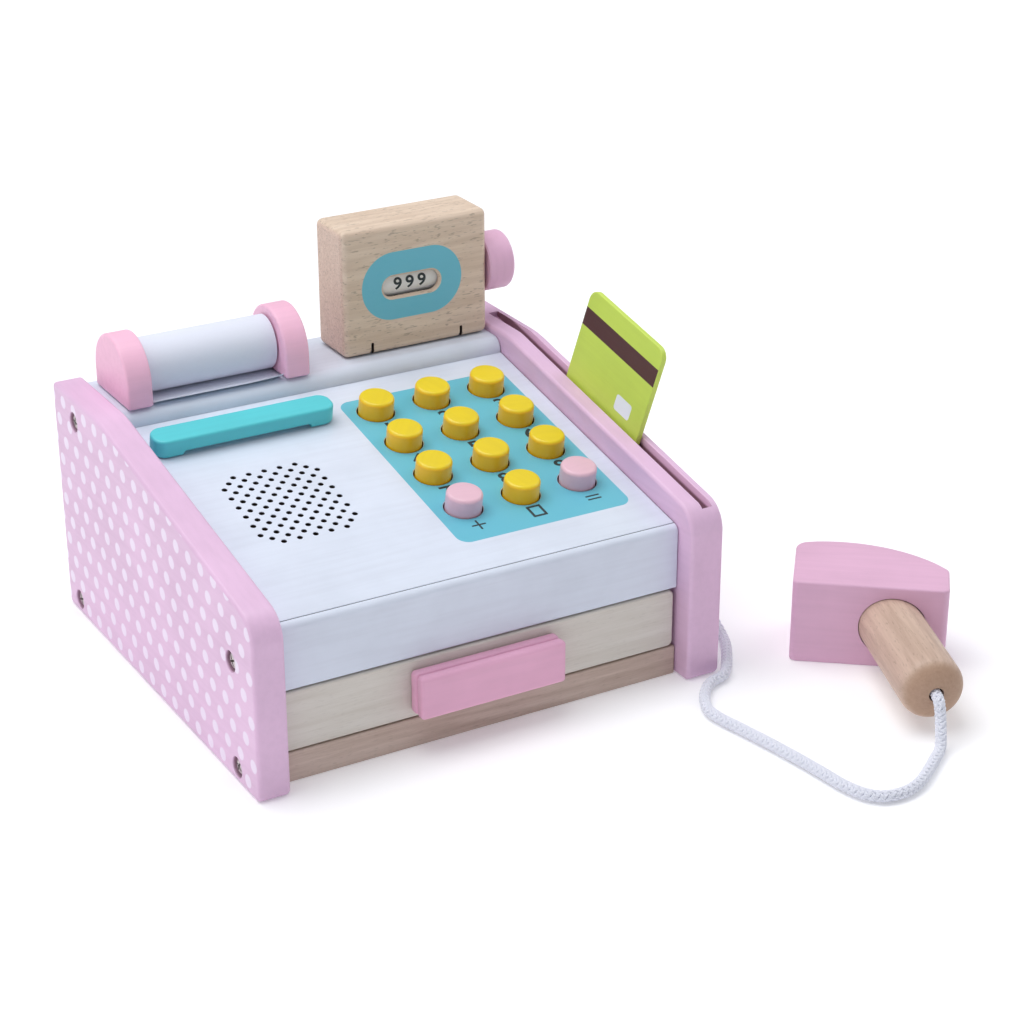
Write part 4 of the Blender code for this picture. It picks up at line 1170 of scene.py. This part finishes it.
def make_drawer():
    birch = timber("birch_drawer_front", (0.72, 0.685, 0.63), (0.61, 0.565, 0.50), 0, 26, 0.10, 0.48, 0.9)
    stand_for("drawer_front", front_block("drawer_front", 2.4 * MM), FRONTAL, birch, 1.0 * MM)
    for name, grain, thin in (("side_left", 1, 0), ("side_right", 1, 0), ("back", 0, 1)):
        dress("drawer_" + name, plywood("ply_" + name, grain, thin, 5, 6 * MM), 0.4 * MM)
    dress("drawer_bottom", plywood("ply_bottom", 0, 2, 3, 3 * MM), 0.3 * MM)
    make_handle()


def make_handle():
    """Two glued layers with rounded edges, so that a groove runs round between them."""
    low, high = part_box("drawer_handle")
    pink = painted("pink_handle", (0.84, 0.44, 0.62), 0.40, 0)
    middle = (low.y + high.y) / 2
    outline = rectangle((low.x, low.z), (high.x, high.z), 1.6 * MM)
    front = prism(outline, 0.12 * MM - middle, -low.y)
    stand_for("drawer_handle", front, FRONTAL, pink, 1.5 * MM)
    rear = put("drawer_handle_rear_layer", prism(outline, -high.y, -0.12 * MM - middle), FRONTAL, pink)
    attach(finish(rear, 1.5 * MM), "drawer")


# Play card


def make_card():
    along = Vector((0, math.cos(SLOPE), math.sin(SLOPE)))
    normal = Vector((0, -math.sin(SLOPE), math.cos(SLOPE)))
    up = normal * math.cos(CARD_LEAN) + Vector((1, 0, 0)) * math.sin(CARD_LEAN)
    turn = Matrix((along, up, along.cross(up))).transposed().to_4x4()
    low, high = box_in("play_card", turn)
    size = high - low
    matrix = turn @ Matrix.Translation((low + high) / 2)
    outline = rectangle(-size / 2, size / 2, 5 * MM, 12)
    paint = card_material(size.x, size.y)
    stand_for("play_card", prism(outline, -size.z / 2, size.z / 2), matrix, paint, 0.45 * MM, (), 3)


# Hand scanner


def head_outline():
    """Side view of the head: a flat base, a tall front end and a back that curves down."""
    base, arc_x, arc_y, radius = 61.5 * MM, 18.3 * MM, -14.8 * MM, 55.3 * MM
    first = math.degrees(math.acos((base - 4 * MM - arc_x) / radius))
    last = math.degrees(math.acos((8 * MM - arc_x) / radius))
    corners = [(0, 0, 2.5 * MM), (base, 0, 2.5 * MM), (base, 19.7 * MM, 4 * MM)]
    corners += [(x, y, 0) for x, y in arc(arc_x, arc_y, radius, first, last, 40)]
    corners += [(0, 37.4 * MM, 6 * MM)]
    return rounded(corners, 8)


def grip_matrix():
    """The grip's frame, whose Z runs out along the grip from inside the head, and the grip's length."""
    angle = HEAD_TURN + GRIP_TURN
    turn = Vector((math.sin(angle), -math.cos(angle), 0)).to_track_quat("Z", "Y").to_matrix().to_4x4()
    low, high = box_in("scanner_handle", turn)
    return turn @ at((low.x + high.x) / 2, (low.y + high.y) / 2, low.z), high.z - low.z


def make_scanner():
    turn = Matrix.Rotation(HEAD_TURN, 4, "Z")
    low, high = box_in("scanner_head", turn)
    grip_place, length = grip_matrix()
    socket = lathe([(0, 30 * MM), (12.95 * MM, 30 * MM), (12.95 * MM, -0.5 * MM), (0, -0.5 * MM)], 96)
    head = prism(head_outline(), 0, high.z - low.z)
    pink = painted("pink_scanner_head", PINK, 0.45, 0)
    place = turn @ Matrix.Translation(low)
    stand_for("scanner_head", head, place, pink, 1.0 * MM, [(socket, grip_place)], 5)
    radius, dome = 12.6 * MM, 8.0 * MM
    profile = [(0, length - 10 * MM), (CORD_HOLE_RADIUS, length - 10 * MM)]
    first = math.acos(CORD_HOLE_RADIUS / radius)
    for i in range(17):
        angle = first * (1 - i / 16)
        height = length - dome + dome * math.sin(angle) ** 0.9
        profile.append((radius * math.cos(angle), height))
    profile += [(radius, 0), (0, 0)]
    stand_for("scanner_handle", lathe(profile, 96), grip_place, grip_material())


def grip_material():
    """Beech dowel with long streaks, and darker end grain on its dome."""
    surface = Surface("beech_grip")
    wood = wood_coat(surface, (0.66, 0.49, 0.39), (0.49, 0.345, 0.27), 2, 80, 0.30, 0.5)
    facing = surface.facing("Z")
    speckle = surface.noise(900, detail=4.0, offset=21.0)
    end = surface.mix(speckle, (0.50, 0.33, 0.23), (0.36, 0.22, 0.14))
    mask = surface.fade(facing, 0.30, 0.85, 0.0, 0.85)
    surface.set(base_color=surface.mix(mask, wood, end))
    return surface.material


# Cord


def cord_stops():
    """Points that the cord passes through, from its hole in the side panel to the end of the grip."""
    place, length = grip_matrix()
    tip = place @ Vector((0, 0, length))
    out = place.to_3x3() @ Vector((0, 0, 1))
    floor = 2.7 * MM
    on_floor = [(11.0, 10.6), (-0.6, -5.0), (-10.0, -8.8), (-17.5, -16.0), (-22.5, -25.0)]
    on_floor += [(-23.0, -33.0), (-20.5, -45.0), (-17.5, -60.0), (-15.0, -75.0), (-13.4, -87.0)]
    on_floor += [(-12.0, -98.0), (-9.0, -106.5), (-3.5, -111.5), (4.7, -112.5), (13.0, -110.0)]
    on_floor += [(21.0, -105.0), (28.6, -99.5)]
    stops = [CORD_EXIT + Vector(step) * MM for step in ((-8, 0, 0), (1, 0, 0), (9, -1.5, -2.5))]
    stops.append(Vector((RIGHT + 16.5 * MM, CORD_EXIT.y - 8 * MM, 9 * MM)))
    stops.append(Vector((RIGHT + 16.5 * MM, CORD_EXIT.y - 18 * MM, floor + 0.4 * MM)))
    stops += [Vector((RIGHT + x * MM, FRONT + y * MM, floor)) for x, y in on_floor]
    stops.append(Vector((RIGHT + 35.2 * MM, FRONT - 94.5 * MM, floor + 0.8 * MM)))
    stops.append(tip + out * 6.0 * MM + Vector((0, 0, -7.0 * MM)))
    stops.append(tip + out * 3.2 * MM + Vector((0, 0, -1.4 * MM)))
    stops += [tip - out * 1.0 * MM, tip - out * 8.0 * MM]
    return stops


def even_frames(points, spacing):
    """Evenly spaced places along a path, each with two directions across it that never twist."""
    places = [points[0]]
    ahead = []
    reach = spacing
    for start, end in zip(points, points[1:]):
        step = end - start
        while reach <= step.length:
            places.append(start + step * (reach / step.length))
            reach += spacing
        reach -= step.length
    for i in range(len(places)):
        before, after = places[max(i - 1, 0)], places[min(i + 1, len(places) - 1)]
        ahead.append((after - before).normalized())
    across = ahead[0].orthogonal().normalized()
    frames = []
    for place, direction in zip(places, ahead):
        across = (across - direction * across.dot(direction)).normalized()
        frames.append((place, across, direction.cross(across)))
    return frames


def make_cord():
    """A round braid: eight strands of two yarns, half of them turning each way, over one and under one."""
    per_turn, pitch = 20, 10.5 * MM
    frames = even_frames(smooth_path(cord_stops(), 24), pitch / per_turn)
    strands, yarn, spread = 8, 0.50 * MM, 0.27
    middle, wave = CORD_RADIUS - 0.80 * MM, 0.36 * MM
    paths = []
    for way in (-1, 1):
        for strand in range(strands // 2):
            for side in (-spread, spread):
                path = []
                for i, (place, across, up) in enumerate(frames):
                    phase = 2 * math.pi * i / per_turn
                    angle = way * phase + 4 * math.pi * strand / strands + side
                    radius = middle + way * wave * math.cos(strands / 2 * phase)
                    path.append(place + radius * (across * math.cos(angle) + up * math.sin(angle)))
                paths.append(path)
    core = tubes([[place for place, _, _ in frames[::4]]], 1.25 * MM, 2)
    braid = joined([(tubes(paths, yarn, 1), Matrix.Identity(4)), (core, Matrix.Identity(4))])
    obj = finish(put("scanner_cord_braid", braid, Matrix.Identity(4), cord_material()), sharp=80)
    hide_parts("scanner_cord")
    place, length = grip_matrix()
    end = place @ Vector((0, 0, length + 8 * MM))
    end.z = 0
    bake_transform(obj)


# Studio


def make_floor():
    # The floor glows, faintly near the register and more strongly further off, where it shows as white ground; the
    # glow also lights the register a little from below
    surface = Surface("pale_floor")
    tint = surface.noise(3, detail=2.0)
    distance = surface.vector("LENGTH", surface.place)
    surface.set(
        base_color=surface.mix(tint, (0.90, 0.90, 0.91), (0.93, 0.93, 0.94)),
        roughness=0.9,
        emission_color=(0.96, 0.97, 1.0),
        emission_strength=surface.fade(distance, 0.5, 1.8, 0.16, 0.9),
    )
    disc = prism(arc(0, 0, 5.0, 0, 355, 71), -0.02, 0)
    put("studio_floor", disc, Matrix.Identity(4), surface.material)


def make_sky():
    """A dim cool sky that lights the scene, in front of a white backdrop."""
    world = bpy.data.worlds.new("studio")
    world.use_nodes = True
    nodes, links = world.node_tree.nodes, world.node_tree.links
    sky = nodes["Background"]
    sky.inputs["Color"].default_value = (0.93, 0.95, 1.0, 1)
    sky.inputs["Strength"].default_value = 0.42
    path = nodes.new("ShaderNodeLightPath")
    backdrop = nodes.new("ShaderNodeBackground")
    backdrop.inputs["Color"].default_value = (1, 1, 1, 1)
    blend = nodes.new("ShaderNodeMixShader")
    links.new(path.outputs["Is Camera Ray"], blend.inputs[0])
    links.new(sky.outputs[0], blend.inputs[1])
    links.new(backdrop.outputs[0], blend.inputs[2])
    links.new(blend.outputs[0], nodes["World Output"].inputs[0])
    bpy.context.scene.world = world


def make_lamps():
    lamps = (
        ("softbox_above", (-0.25, 0.22, 1.3), 1.1, 12.8),
        ("softbox_left", (-1.4, -0.10, 0.8), 1.0, 3.0),
        ("softbox_right", (1.1, 0.0, 0.9), 0.9, 3.8),
    )
    for name, place, size, power in lamps:
        light = bpy.data.lights.new(name, "AREA")
        light.size = size
        light.energy = power
        lamp = bpy.data.objects.new(name, light)
        lamp.location = place
        lamp.rotation_euler = Vector(place).to_track_quat("Z", "Y").to_euler()
        bpy.context.scene.collection.objects.link(lamp)


def make_camera():
    camera = bpy.data.cameras.new("camera")
    camera.lens = 86.24
    camera.sensor_width = 36
    camera.shift_x = 0.0063
    camera.shift_y = 0.0131
    eye = bpy.data.objects.new("camera", camera)
    back = Vector((-0.4514, -0.7869, 0.4207)).normalized()
    roll = Matrix.Rotation(math.radians(-0.12), 4, "Z")
    eye.matrix_world = at(-0.4013, -0.7989, 0.4638) @ back.to_track_quat("Z", "Y").to_matrix().to_4x4() @ roll
    bpy.context.scene.collection.objects.link(eye)
    bpy.context.scene.camera = eye
    bpy.context.scene.view_settings.view_transform = "Standard"


black_print = ink_material()
make_side_panels()
make_screws()
make_base_and_back()
make_front_panel()
make_rear_shelf()
make_top_panel()
make_receipt_bar()
make_keys()
make_springs()
make_glyphs(black_print)
make_roll_holder()
make_roll()
make_display(black_print)
make_drawer()
make_card()
make_scanner()
make_cord()
make_floor()
make_sky()
make_lamps()
make_camera()
